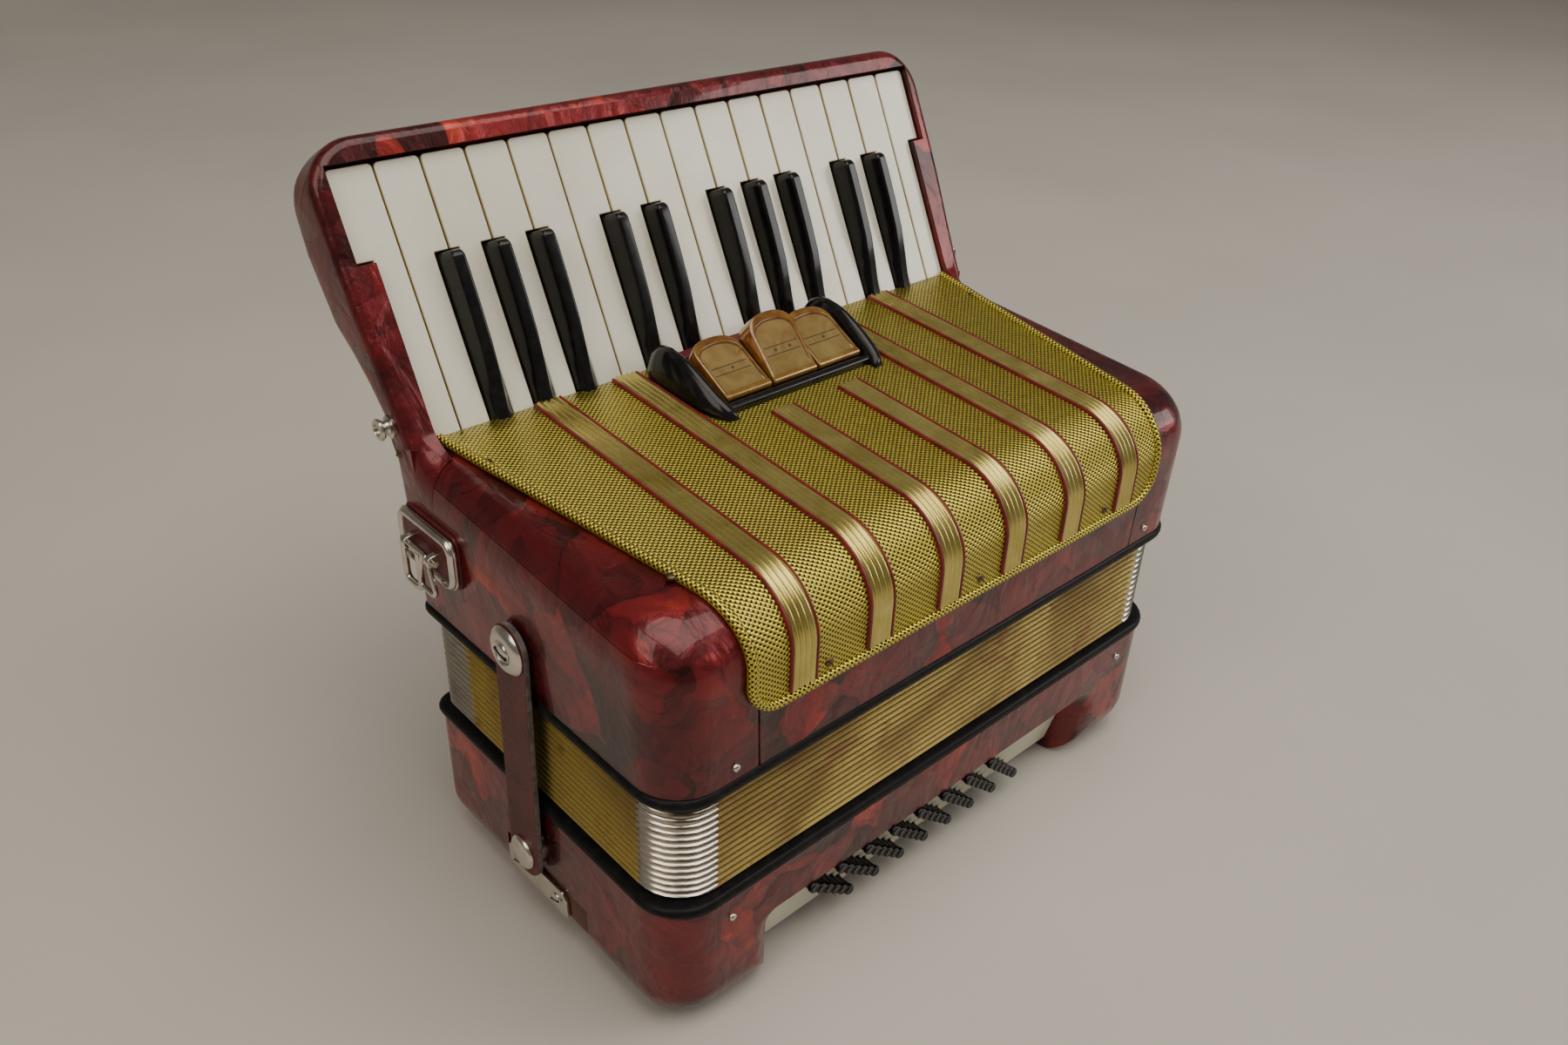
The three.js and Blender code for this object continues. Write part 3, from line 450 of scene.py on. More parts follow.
# ---- mesh building ----
def piece(
    name, solid, looks, body="treble_body", slot=None,
    indices=None, sharp=35, uvs=None, edge=None, node=None,
):
    """A mesh piece that rides on a body.

    `indices` is each face's place in the list of looks, `edge` says how its edges are bevelled,
    and `node` is the CAD solid it replaces.
    """
    vertices, faces = solid
    looks = looks if isinstance(looks, list) else [looks]
    mesh = bpy.data.meshes.new(name)
    mesh.from_pydata([tuple(v) for v in vertices], [], faces)
    for look in looks:
        mesh.materials.append(look)
    if indices:
        mesh.polygons.foreach_set("material_index", indices)
    if uvs:
        layer = mesh.uv_layers.new(name="along")
        for loop in mesh.loops:
            layer.data[loop.index].uv = uvs[loop.vertex_index]
    built = bmesh.new()
    built.from_mesh(mesh)
    bmesh.ops.recalc_face_normals(built, faces=built.faces)
    built.to_mesh(mesh)
    built.free()
    obj = bpy.data.objects.new(name, mesh)
    bpy.context.scene.collection.objects.link(obj)
    smooth(obj, sharp)
    if body:
        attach(obj, body)
        slot or SLOTS[looks[0]]
    if edge:
        bevel(obj, *edge)
    if node:
        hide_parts(node)
    return obj


def smooth(obj, sharp=35):
    obj.data.shade_smooth()
    obj.data.set_sharp_from_angle(angle=radians(sharp))


def modify(obj, kind, **settings):
    modifier = obj.modifiers.new(kind.lower(), kind)
    for key, value in settings.items():
        setattr(modifier, key, value)


def bevel(obj, width, segments=3, angle=40):
    limits = {"limit_method": "ANGLE", "angle_limit": radians(angle)}
    modify(obj, "BEVEL", width=width * MM, segments=segments, **limits)
    modify(obj, "WEIGHTED_NORMAL", keep_sharp=True)


def cut(obj, *solids):
    """Takes the solids out of a piece for good."""
    cutters = [piece("cutter", solid, PEARL, None) for solid in solids]
    for cutter in cutters:
        modify(obj, "BOOLEAN", operation="DIFFERENCE", solver="EXACT", object=cutter)
    graph = bpy.context.evaluated_depsgraph_get()
    result = bpy.data.meshes.new_from_object(obj.evaluated_get(graph))
    obj.modifiers.clear()
    obj.data = result
    for cutter in cutters:
        bpy.data.objects.remove(cutter)


def loft(rings, closed=True, caps=True):
    """Vertices and faces through rings of the same number of points."""
    count = len(rings[0])
    vertices = [point for ring in rings for point in ring]
    faces = []
    last = count if closed else count - 1
    for r in range(len(rings) - 1):
        for i in range(last):
            j = (i + 1) % count
            faces.append((r * count + i, r * count + j, (r + 1) * count + j, (r + 1) * count + i))
    if caps:
        faces.append(tuple(reversed(range(count))))
        faces.append(tuple(range(len(vertices) - count, len(vertices))))
    return vertices, faces


def prism(outline, place, low, high):
    """An outline swept from low to high: place(u, v, w) gives each point."""
    return loft([[place(u, v, w) for u, v in outline] for w in (low, high)])


def arc(u, v, radius, start, end, steps=8):
    """Points of an arc, with its angles in degrees. The radius may be a pair."""
    ru, rv = radius if isinstance(radius, tuple) else (radius, radius)
    angles = [radians(start + (end - start) * i / steps) for i in range(steps + 1)]
    return [(u + ru * cos(a), v + rv * sin(a)) for a in angles]


def circle(side, up, radius, sides):
    """Offsets round a circle; radius in millimetres."""
    turns = [tau * k / sides for k in range(sides)]
    return [side * (radius * MM * cos(t)) + up * (radius * MM * sin(t)) for t in turns]


def tube(path, radius, sides=12, closed=False):
    """A round tube along points in the frame; radius in millimetres."""
    rings = []
    up = Vector((0, 0, 1))
    count = len(path)
    for i, point in enumerate(path):
        before = path[(i - 1) % count] if closed or i else point
        after = path[(i + 1) % count] if closed or i < count - 1 else point
        ahead = (after - before).normalized()
        if abs(ahead.dot(up)) > 0.95:
            up = Vector((0, 1, 0)) if abs(ahead.y) < 0.9 else Vector((1, 0, 0))
        side = ahead.cross(up).normalized()
        up = side.cross(ahead).normalized()
        rings.append([point + offset for offset in circle(side, up, radius, sides)])
    if closed:
        return loft(rings + rings[:1], caps=False)
    return loft(rings)


def lathe(profile, centre, axis, steps=24):
    """A turned solid: profile of (radius, distance along the axis) from a point in the frame."""
    axis = Vector(axis).normalized()
    side = axis.orthogonal().normalized()
    other = axis.cross(side)
    rings = []
    for radius, along in profile:
        middle = centre + axis * (along * MM)
        offsets = circle(side, other, max(radius, 0.01), steps)
        rings.append([middle + offset for offset in offsets])
    return loft(rings)


def join(*solids):
    vertices, faces = [], []
    for some_vertices, some_faces in solids:
        start = len(vertices)
        vertices += some_vertices
        faces += [tuple(i + start for i in face) for face in some_faces]
    return vertices, faces


def block(x0, x1, y0, y1, z0, z1):
    return prism([(x0, y0), (x1, y0), (x1, y1), (x0, y1)], at, z0, z1)


def sideways(y, z, x):
    """Places a section drawn in (y, z) and swept along X."""
    return at(x, y, z)


def rounded_loop(half_u, half_v, radius, steps=6):
    u, v = half_u - radius, half_v - radius
    points = []
    for x, y, start in ((u, v, 0), (-u, v, 90), (-u, -v, 180), (u, -v, 270)):
        points += arc(x, y, radius, start, start + 90, steps)
    return points


def mirrored(points):
    """The points, and then their mirror images back to the start."""
    return points + [(-u, v) for u, v in reversed(points)]


def quarter(step, first, last):
    """(sine, 1 - cosine) of some steps, in degrees, of a quarter turn."""
    turns = [radians(step * i) for i in range(first, last + 1)]
    return [(sin(a), 1 - cos(a)) for a in turns]


# ---- treble casing ----
def plan(half, front, back, front_radius, back_radius, stops=()):
    """Outline of a casing seen from above, with further points along its front."""
    return (
        arc(-half + front_radius, front + front_radius, front_radius, 180, 270)
        + [(x, front) for x in stops]
        + arc(half - front_radius, front + front_radius, front_radius, 270, 360)
        + arc(half - back_radius, back - back_radius, back_radius, 0, 90, 5)
        + arc(-half + back_radius, back - back_radius, back_radius, 90, 180, 5)
    )


def top_at(y):
    return TOP_AT_KEYS + min(y, 0) * TOP_SLOPE


def treble_ring(inset, lift=0.0, drop=None, turn=0.0, groove=0.0, line=0.0):
    """A ring of the treble casing, `lift` of the way up its wall or on its rounded top edge.

    `drop` is the depth below the top, `turn` the angle round the edge, `groove` the depth of
    the cover's seams, and `line` the depth of the line along the ends.
    """
    bend = 1 - cos(turn)
    ends = END_ROUNDING * bend
    share = 1 - bend * 0.6
    half = TREBLE_HALF_TOP - inset
    seam = [SEAM - SEAM_HALF, SEAM, SEAM + SEAM_HALF]
    stops = [-x for x in reversed(seam)] + seam
    front = BODY_FRONT + inset + SHOULDER * bend
    radius = (CORNER - inset) * share
    ring = []
    for x, y in plan(half - ends, front, BODY_BACK - inset, radius, 6 * share + 0.5, stops):
        if groove and abs(abs(x) - SEAM) < 0.1:
            y += groove
        top = top_at(y) - inset
        if drop is None:
            z = TREBLE_BOTTOM + (top - SHOULDER_DROP - TREBLE_BOTTOM) * lift
        else:
            z = top - drop
        rise = (z - TREBLE_BOTTOM) / -TREBLE_BOTTOM
        x *= (TREBLE_HALF_LOW + (TREBLE_HALF_TOP - TREBLE_HALF_LOW) * rise) / TREBLE_HALF_TOP
        if line and abs(x) > half - ends - 3:
            x -= copysign(line, x)
        ring.append(at(x, y, z))
    return ring


def treble_casing():
    turns = [radians(9 * i) for i in range(1, 11)]
    seam_turn = asin(1 - END_SEAM_DROP / SHOULDER_DROP)
    near = [seam_turn - 0.012, seam_turn, seam_turn + 0.012]
    turns = sorted([t for t in turns if abs(t - seam_turn) > 0.05] + near)

    def edge(inset, turn, line=0.0):
        drop = SHOULDER_DROP * (1 - sin(turn))
        return treble_ring(inset, drop=drop, turn=turn, line=line)

    inner = [edge(WALL, t) for t in reversed(turns)] + [treble_ring(WALL, lift) for lift in (1, 0)]
    outer = [treble_ring(0, lift, groove=SEAM_DEPTH) for lift in (0, 0.02, 0.5, 1)]
    outer += [edge(0, t, END_LINE_DEPTH if t == seam_turn else 0) for t in turns]
    casing = piece("treble_shell", loft(inner + outer), PEARL)
    key_opening = block(-143.5, 143.5, -4.5, 9, -30, 10)
    cut(casing, key_opening)
    smooth(casing)
    modify(casing, "WEIGHTED_NORMAL", keep_sharp=True)
    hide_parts("treble_casing", "treble_cover")
    y, z = BRACKET
    outline = [(y + u, z + v) for u, v in rounded_loop(19, 12, 4, 4)]
    for side, name in SIDES:
        solid = prism(outline, sideways, side * 146, side * (BRACKET_X - 0.3))
        piece(f"bracket_pad_{name}", solid, RED_PLASTIC, edge=(1.2,))


# ---- keyboard ----
ALONG = Vector((0, cos(KEY_LEAN), sin(KEY_LEAN)))
ABOVE = Vector((0, -sin(KEY_LEAN), cos(KEY_LEAN)))


def on_keys(x, along, above):
    return Vector((x * MM, 0, 0)) + (ALONG * along + ABOVE * above) * MM + LINE


def joint_x(joint):
    return joint * KEY_PITCH - KEYBOARD_HALF


def black_places():
    places = []
    for middle, count, spacing in BLACK_GROUPS:
        for i in range(count):
            place = i - (count - 1) / 2
            places.append((ceil(middle + place - 0.5), joint_x(middle) + place * spacing))
    return places


def white_side(joint, side):
    """Edge of a white key, the edge of its narrower part, and where that begins."""
    edge = joint_x(joint) - side * KEY_JOINT / 2
    for black, x in black_places():
        if black == joint:
            return edge, x - side * (BLACK_HALF + 0.6), BLACK_LENGTH + 1
    if joint in (0, WHITE_KEYS):
        return edge, edge - side * END_CUT, END_CUT_LENGTH
    return edge, edge, None


def white_key(index):
    left, left_tail, left_notch = white_side(index, -1)
    right, right_tail, right_notch = white_side(index + 1, 1)
    tip = 1.8
    outline = [(left_tail, -8), (right_tail, -8)]
    if right_notch:
        outline += [(right_tail, right_notch), (right, right_notch)]
    outline += arc(right - tip, KEY_LENGTH - tip, tip, 0, 90, 4)
    outline += arc(left + tip, KEY_LENGTH - tip, tip, 90, 180, 4)
    if left_notch:
        outline += [(left, left_notch), (left_tail, left_notch)]
    solid = prism(outline, on_keys, -KEY_THICK, 0)
    # Sides and underside take the darker ivory, painted shade; the top keeps the plain ivory.
    indices = [1] * (len(solid[1]) - 2) + [1, 0]
    number = f"{index + 1:02d}"
    node = f"white_key_{number}"
    settings = {"indices": indices, "sharp": 25, "edge": (0.55, 3, 25), "node": node}
    piece(f"ivory_{number}", solid, [IVORY, IVORY_SIDE_PAINTED_SHADE], node, **settings)


def black_key(index, x):
    """Rings along the key, each a rounded bar that narrows upwards, ending in a rounded tip."""
    stations = [(-7, 2.2, 0), (3, 3.2, 0), (14, 5.4, 0), (26, 7.4, 0), (40, 8.2, 0), (54, 8.5, 0)]
    for ahead, fall in quarter(15, 1, 6):
        stations.append((BLACK_LENGTH - 4 + 4 * ahead, 8.6 - 3.4 * fall, 0.7 * fall))
    rings = []
    r = 1.2
    for along, height, narrow in stations:
        low = BLACK_HALF - narrow
        top = low - 1.9
        section = [(-low, -KEY_THICK), (low, -KEY_THICK), (low, 0.5)]
        section += arc(top - r, height - r, r, 15, 90, 4)
        section += arc(-top + r, height - r, r, 90, 165, 4)
        section += [(-low, 0.5)]
        rings.append([on_keys(x + u, along, v) for u, v in section])
    node = f"black_key_{index + 1:02d}"
    key = piece(f"ebony_{index + 1:02d}", loft(rings), EBONY, node, sharp=50)
    modify(key, "WEIGHTED_NORMAL", keep_sharp=True)
    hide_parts(node)


def ease(t):
    t = min(max(t, 0), 1)
    return t * t * (3 - 2 * t)


def frame_outline(inset, cut_back):
    """Outline of the keyboard frame in the plane of the keys, from its lower left corner."""

    def half(along):
        return FRAME_HALF_LOW + (FRAME_HALF_TOP - FRAME_HALF_LOW) * ease(along / 60) - inset

    sides = [cut_back, 0, 12, 24, 36, 48, 60, 74]
    radius = FRAME_CORNER - inset
    turn = (FRAME_HALF_TOP - inset - radius, FRAME_TOP - inset - radius)
    return mirrored([(half(s), s) for s in sides] + arc(*turn, radius, 0, 90, 10))


def frame_back(along):
    """Height of the frame's back over the plane of the keys."""
    stops = [(-40, -13), (10, -13.3), (26, -15.5), (50, -24), (79, -27), (98, -23)]
    stops.append((FRAME_TOP, -17))
    for (s0, h0), (s1, h1) in zip(stops, stops[1:]):
        if along <= s1:
            return h0 + (h1 - h0) * ease((along - s0) / (s1 - s0))
    return stops[-1][1]


def under_keys(along):
    """Height of the tray's floor, deeper towards the tips, where the keys dip most."""
    return -9.5 - 0.04 * along


def keyboard_frame():
    low = -30
    round_front = 4.5
    round_back = 7
    wall_top = FRAME_PROUD - round_front
    rings = []

    def ring(inset, height):
        rings.append([on_keys(x, s, height(s)) for x, s in frame_outline(inset, low)])

    for out, fall in quarter(18, 0, 5):
        ring(round_front * (1 - out), lambda s: FRAME_PROUD - round_front * fall)
    for share in (0.2, 0.4, 0.6, 0.8):
        ring(0, lambda s: wall_top + (frame_back(s) + round_back - wall_top) * share)
    for fall, bend in quarter(15, 0, 6):
        ring(round_back * bend, lambda s: frame_back(s) + round_back * (1 - fall))
    tray = piece("keyboard_tray", loft(rings), PEARL)
    wide = KEYBOARD_HALF + 0.3
    narrow = KEYBOARD_HALF - END_CUT
    step = END_CUT_LENGTH - 1
    end = KEY_LENGTH + 0.9
    right = [(narrow, -60), (narrow, step), (wide, step), (wide, end)]
    pocket = [(-narrow, -60)] + right + [(-wide, end), (-wide, step), (-narrow, step)]
    room = prism(pocket, lambda u, v, w: on_keys(u, v, w or under_keys(v)), 0, 30)
    below_casing_top = block(-200, 200, -80, 80, -90, TOP_AT_KEYS + 0.3)
    cut(tray, room, below_casing_top)
    smooth(tray)
    bevel(tray, 0.5, 2, 50)
    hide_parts("keyboard_frame")
    # A near-black sheet under the keys: painted shade.
    outline = [(-147, 2), (147, 2), (147, KEY_LENGTH), (-147, KEY_LENGTH)]
    floor = prism(outline, lambda u, v, w: on_keys(u, v, under_keys(v) + w), -0.3, 0.15)
    piece("tray_floor", floor, PAINTED_SHADE_BLACK, edge=(0.1,))


def frame_fillets():
    """Concave blends from the keyboard frame into the casing's rounded ends, and the ends below."""
    radius = 16
    inner = KEYBOARD_HALF - END_CUT + 0.1
    frame_normal = degrees(atan2(cos(KEY_LEAN), -sin(KEY_LEAN)))
    top_normal = degrees(atan2(1, -TOP_SLOPE))
    rise = tan(KEY_LEAN)
    proud = FRAME_PROUD * (cos(KEY_LEAN) + sin(KEY_LEAN) * rise)
    corner_y = (TOP_AT_KEYS - proud) / (rise - TOP_SLOPE)
    half = radians(180 - (frame_normal - top_normal)) / 2
    middle = radians((frame_normal + top_normal) / 2)
    reach = radius / sin(half)
    centre_y = corner_y + reach * cos(middle)
    centre_z = top_at(corner_y) + reach * sin(middle)
    flare = TREBLE_HALF_TOP - TREBLE_HALF_LOW

    def section(share):
        """Across the blend, from the frame's side at share 0 to the casing's end at share 1."""
        wide, deep, back = 5 + 8 * share, 5 + 15 * share, 13 + 9 * share
        edge = FRAME_HALF_LOW + (TREBLE_HALF_TOP - FRAME_HALF_LOW) * share
        start = asin(max(0, (inner - edge + wide) / wide))
        points = [(inner, back), (inner, 0)]
        for i in range(12):
            a = start + (pi / 2 - start) * i / 11
            points.append((edge - wide * (1 - sin(a)), deep * (1 - cos(a))))
        return points + [(edge, back)]

    edge = TREBLE_HALF_TOP - 0.1
    under = [(inner, -3), (edge, -3)]
    under += arc(edge - 6, BODY_BACK - 6.3, 6, 0, 90, 6) + [(inner, BODY_BACK - 0.3)]
    for side, name in SIDES:
        rings = []
        for share in (step / 12 for step in range(13)):
            turn = radians(frame_normal + (top_normal - frame_normal) * share)
            ring = []
            for x, depth in section(share):
                y = centre_y - cos(turn) * (radius + depth)
                z = centre_z - sin(turn) * (radius + depth)
                ring.append(at(side * (x + flare * min(z, 0) / -TREBLE_BOTTOM), y, z))
            rings.append(ring)
        piece(f"frame_fillet_{name}", loft(rings), PEARL, sharp=50)
        levels = ((-23, 1.2), (-2, 0))
        end = loft([[at(side * (x - shrink), y, z) for x, y in under] for z, shrink in levels])
        piece(f"frame_end_{name}", end, PEARL, sharp=50)


# ---- grille ----
def grille_line(lift, start, end):
    """Points (y, z) and outward directions from the keys over the shoulder and down the front."""
    points = []
    steps = 14
    turn_y = BODY_FRONT + SHOULDER
    for i in range(steps + 1):
        y = start + (turn_y - start) * i / steps
        points.append((y, top_at(y), 0.0, 1.0))
    for i in range(1, 13):
        a = radians(90 - 7.5 * i)
        y = turn_y - SHOULDER * cos(a)
        points.append((y, top_at(y) - SHOULDER_DROP * (1 - sin(a)), -cos(a), sin(a)))
    low = points[-1][1]
    for i in range(1, 9):
        points.append((BODY_FRONT, low + (end - low) * i / 8, -1.0, 0.0))
    return [(y + ny * lift, z + nz * lift, ny, nz) for y, z, ny, nz in points]


def grille_half(y, z):
    if z > GRILLE_BOTTOM + GRILLE_CORNER or y > BODY_FRONT + 2:
        t = min(max((y - BODY_FRONT) / (GRILLE_BACK - BODY_FRONT), 0), 1)
        return GRILLE_HALF_FRONT + (GRILLE_HALF_BACK - GRILLE_HALF_FRONT) * t
    rise = min(max(GRILLE_BOTTOM + GRILLE_CORNER - z, 0), GRILLE_CORNER)
    return GRILLE_HALF_FRONT - GRILLE_CORNER + sqrt(GRILLE_CORNER**2 - rise**2)


def grille():
    line = grille_line(GRILLE_LIFT, GRILLE_BACK, GRILLE_BOTTOM + GRILLE_CORNER)
    front = line[-1][0]
    line = [point[:2] for point in line]
    for fall, _ in quarter(11.25, 1, 8):
        line.append((front, GRILLE_BOTTOM + GRILLE_CORNER * (1 - fall)))
    columns = 48
    vertices, uvs = [], []
    distance = 0.0
    for i, (y, z) in enumerate(line):
        if i:
            distance += dist((y, z), line[i - 1])
        half = grille_half(y, z)
        for c in range(columns + 1):
            x = half * (2 * c / columns - 1)
            vertices.append(at(x, y, z))
            uvs.append((x * MM, distance * MM))
    width = columns + 1
    faces = []
    for start in range(0, len(vertices) - width, width):
        for a in range(start, start + columns):
            faces.append((a, a + 1, a + 1 + width, a + width))
    sheet = piece("grille_sheet", (vertices, faces), MESH, uvs=uvs, sharp=80)
    modify(sheet, "SOLIDIFY", thickness=0.9 * MM, offset=0)
    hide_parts("grille")

    left = [at(-grille_half(y, z) + 1.6, y, z) for y, z in line]
    path = left + [Vector((-p.x, p.y, p.z)) for p in reversed(left)]
    radius, sides = 1.9, 10
    travelled = [0.0]
    for a, b in zip(path, path[1:]):
        travelled.append(travelled[-1] + (b - a).length)
    spread = radius * MM * tau / sides
    rim_uvs = [(spread * i, distance) for distance in travelled for i in range(sides)]
    piece("grille_rim", tube(path, radius, sides), MESH, uvs=rim_uvs, sharp=80)


def band_section():
    """Half-round piping on both sides of four flutes, as (across, height, is piping)."""
    steps = ((0, -0.4), (0, 0.9), (0.35, 1.35), (0.9, 1.35), (1.25, 0.9))
    piping = [(u - BAND_HALF, h) for u, h in steps]
    flutes = []
    width = 2 * (BAND_HALF - 1.3) / 4
    for i in range(4):
        for k in range(7):
            u = -BAND_HALF + 1.3 + width * (i + k / 7)
            flutes.append((u, 0.75 + 0.95 * sin(pi * k / 7)))
    flutes.append((BAND_HALF - 1.3, 0.75))
    section = [(u, h, True) for u, h in piping] + [(u, h, False) for u, h in flutes]
    return section + [(-u, h, True) for u, h in reversed(piping)]


def bands():
    section = band_section()
    count = len(section)
    reds = [int(section[i][2] and section[(i + 1) % count][2]) for i in range(count)]
    for number, (x, start) in enumerate(BANDS.items(), 1):
        line = grille_line(GRILLE_LIFT + 0.4, start, GRILLE_BOTTOM + 3)
        rings = []
        for y, z, ny, nz in line:
            rings.append([at(x + u, y + ny * h, z + nz * h) for u, h, _ in section])
        indices = reds * (len(rings) - 1) + [1, 1]
        looks = [GOLD, PIPING]
        piece(f"grille_band_{number}", loft(rings), looks, indices=indices, sharp=50)


def screw(name, centre, axis, radius, look=NICKEL, body="treble_body", height=0.8):
    """A domed screw head with a slot across it, the slot a near-black bar of painted shade."""
    profile = [(radius, -0.6), (radius, 0.1), (radius * 0.9, height * 0.6)]
    profile += [(radius * 0.6, height * 0.9), (0, height)]
    piece(name, lathe(profile, centre, axis), look, body, "nickel", sharp=50)
    axis = Vector(axis).normalized()
    side = axis.orthogonal().normalized()
    turn = Matrix.Rotation(radians(30 + 17 * len(name) % 90), 3, axis)
    along, across = turn @ side, turn @ axis.cross(side)
    outline = [(-radius * 0.95, -radius * 0.13), (radius * 0.95, -radius * 0.13)]
    outline += [(-u, -v) for u, v in outline]

    def place(u, v, w):
        return centre + (along * u + across * v + axis * w) * MM

    slot = prism(outline, place, height * 0.55, height * 1.06)
    # The near-black slot bar is painted shade in the recess.
    piece(name + "_slot", slot, PAINTED_SHADE_BLACK, body, "nickel", edge=(0.05, 1))


def grille_screws():
    proud = GRILLE_LIFT + 0.4
    for number, (x, y) in enumerate(SCREWS_ON_GRILLE, 1):
        centre = at(x, y, top_at(y) + proud)
        screw(f"grille_screw_{number}", centre, (0, -TOP_SLOPE, 1), 1.9, DULL_METAL)
    for number, (x, z) in enumerate(SCREWS_ON_FRONT, 5):
        screw(f"grille_screw_{number}", at(x, BODY_FRONT - proud, z), (0, -1, 0), 1.9, DULL_METAL)
    pin = [(1.6, -1), (1.6, 0.5), (1.2, 1.1), (0, 1.3)]
    for side, name in SIDES:
        for end, (x, z) in PINS.items():
            solid = lathe(pin, at(side * x, BODY_FRONT, z), (0, -1, 0), 16)
            piece(f"{end}_pin_{name}", solid, NICKEL, f"{end}_body", sharp=60)


# ---- registers ----
def register_housing():
    def on_grille(x, y, height):
        return at(x, y, top_at(y) + GRILLE_LIFT + 0.6 + height)

    def across(y, height, x):
        return on_grille(x, y, height)

    def slab(half, front, back, low, high):
        outline = [(-half, front), (half, front), (half, back), (-half, back)]
        return prism(outline, on_grille, low, high)

    inner = REGISTER_INNER
    piece("register_base", slab(inner + 4, -7, -1.5, 0, 3.4), RED_PLASTIC, edge=(0.7,))
    bed = slab(inner + 2, -49, -7, -0.3, 0.7)
    piece("register_bed", bed, TRIM, edge=(0.3,), node="register_housing")
    section = arc(-47.5, 2.0, (2.0, 1.6), 0, 180, 8) + [(-49.5, -0.3), (-45.5, -0.3)]
    bar = prism(section, across, -inner - 1, inner + 1)
    piece("register_bar", bar, EBONY, slot="black_trim", sharp=50, edge=(0.3,))
    for side, name in SIDES:
        rings = []
        for y, height, half in CHEEK:
            ring = arc(0, 0, (half, height), 0, 180, 14) + [(-half, -0.4), (half, -0.4)]
            rings.append([on_grille(side * (inner + half) + u, y, v) for u, v in ring])
        cheek = loft(rings)
        piece(f"register_cheek_{name}", cheek, EBONY, slot="black_trim", sharp=60)


def arch(half, low, spring, top, steps=16):
    """Outline with a straight bottom and sides and an arched top."""
    curve = []
    for i in range(steps + 1):
        a = pi * i / steps
        flat = copysign(abs(cos(a)) ** 0.8, cos(a))
        rise = (top - spring) * sin(a) ** 0.9 if 0 < i < steps else 0
        curve.append((half * flat, spring + rise))
    return [(-half, low), (half, low)] + curve


def register_switch(index, name):
    """A wedge, thin at its front hinge, with a raised rim round a face with lines and dots."""
    middle = (index - 1) * SWITCH_PITCH
    lean = radians(REGISTER_LEAN + REGISTER_IN_USE[index])
    y0, z0 = REGISTER_PIVOT
    body = f"register_switch_{name}"

    def place(u, v, w):
        y = y0 + v * cos(lean) - w * sin(lean)
        return at(middle + u, y, z0 + v * sin(lean) + w * cos(lean))

    def underside(v):
        return -SWITCH_HUB - SWITCH_TAPER * v if v > 0 else -0.4

    outer = arch(12, -1.2, 20.5, 28.5)
    inner = arch(10.7, -0.8, 18.2, 24.8)
    face = SWITCH_FACE
    rings = [
        [place(u * 0.96, v, underside(v)) for u, v in outer],
        [place(u, v, underside(v) + 0.5) for u, v in outer],
    ]
    steps = (outer, 1, 1, -0.5), (outer, 0.985, 0.99, -0.15), (outer, 0.955, 0.975, 0)
    steps += (inner, 1, 1, 0), (inner, 0.975, 0.985, -0.7)
    for outline, wide, long, drop in steps:
        rings.append([place(u * wide, v * long, face + drop) for u, v in outline])
    wedge = loft(rings)
    hub = lathe([(SWITCH_HUB, -11.7), (SWITCH_HUB, 11.7)], place(0, 0, 0), (1, 0, 0), 20)
    # Walls take the amber with painted glow, the rim the edge amber, the face the tan.
    indices = [0 if i < 2 * len(outer) else 2 for i in range(len(wedge[1]) - 2)] + [0, 1]
    indices += [0] * len(hub[1])
    settings = {"indices": indices, "sharp": 45, "edge": (0.2, 2), "node": body}
    piece(f"register_tab_{name}", join(wedge, hub), [AMBER_AND_PAINTED_GLOW, TAN, RIM], body, **settings)
    low, high = face - 0.75, face - 0.6
    marks = []
    for v in (9.7, 13.3):
        line = [(-9.2, v), (9.2, v), (9.2, v + 0.35), (-9.2, v + 0.35)]
        marks.append(prism(line, place, low, high))
    for u in SWITCH_DOTS[index]:
        dot = [(u + a, 11.7 + b) for a, b in arc(0, 0, 0.7, 0, 330, 11)]
        marks.append(prism(dot, place, low, high + 0.03))
    piece(f"register_mark_{name}", join(*marks), MARK, body)
    window = [(10.7, 4)] + inner[2:] + [(-10.7, 4)]
    thin = [(u * 0.955, v * 0.975) for u, v in window]
    wide = [(u * 0.985, v * 0.99) for u, v in window]
    piece(f"register_line_{name}", prism(wide + thin[::-1], place, low, high), MARK, body)


# ---- bellows ----
def side_ring(inset, z, radius=CORNER, back_radius=8):
    """Outline of the bellows or a gasket, with further points where the corner metal ends."""
    half, front, back = BASS_HALF - inset, BODY_FRONT + inset, BODY_BACK - inset
    near, far = half - METAL_CORNER, METAL_CORNER
    points = arc(-half + radius, front + radius, radius, 180, 270) + [(-near, front), (near, front)]
    points += arc(half - radius, front + radius, radius, 270, 360)
    points += [(half, front + far), (half, back - far)]
    points += arc(half - back_radius, back - back_radius, back_radius, 0, 90, 5)
    points += [(near, back), (-near, back)]
    points += arc(-half + back_radius, back - back_radius, back_radius, 90, 180, 5)
    points += [(-half, back - far), (-half, front + far)]
    return [at(x, y, z) for x, y in points]


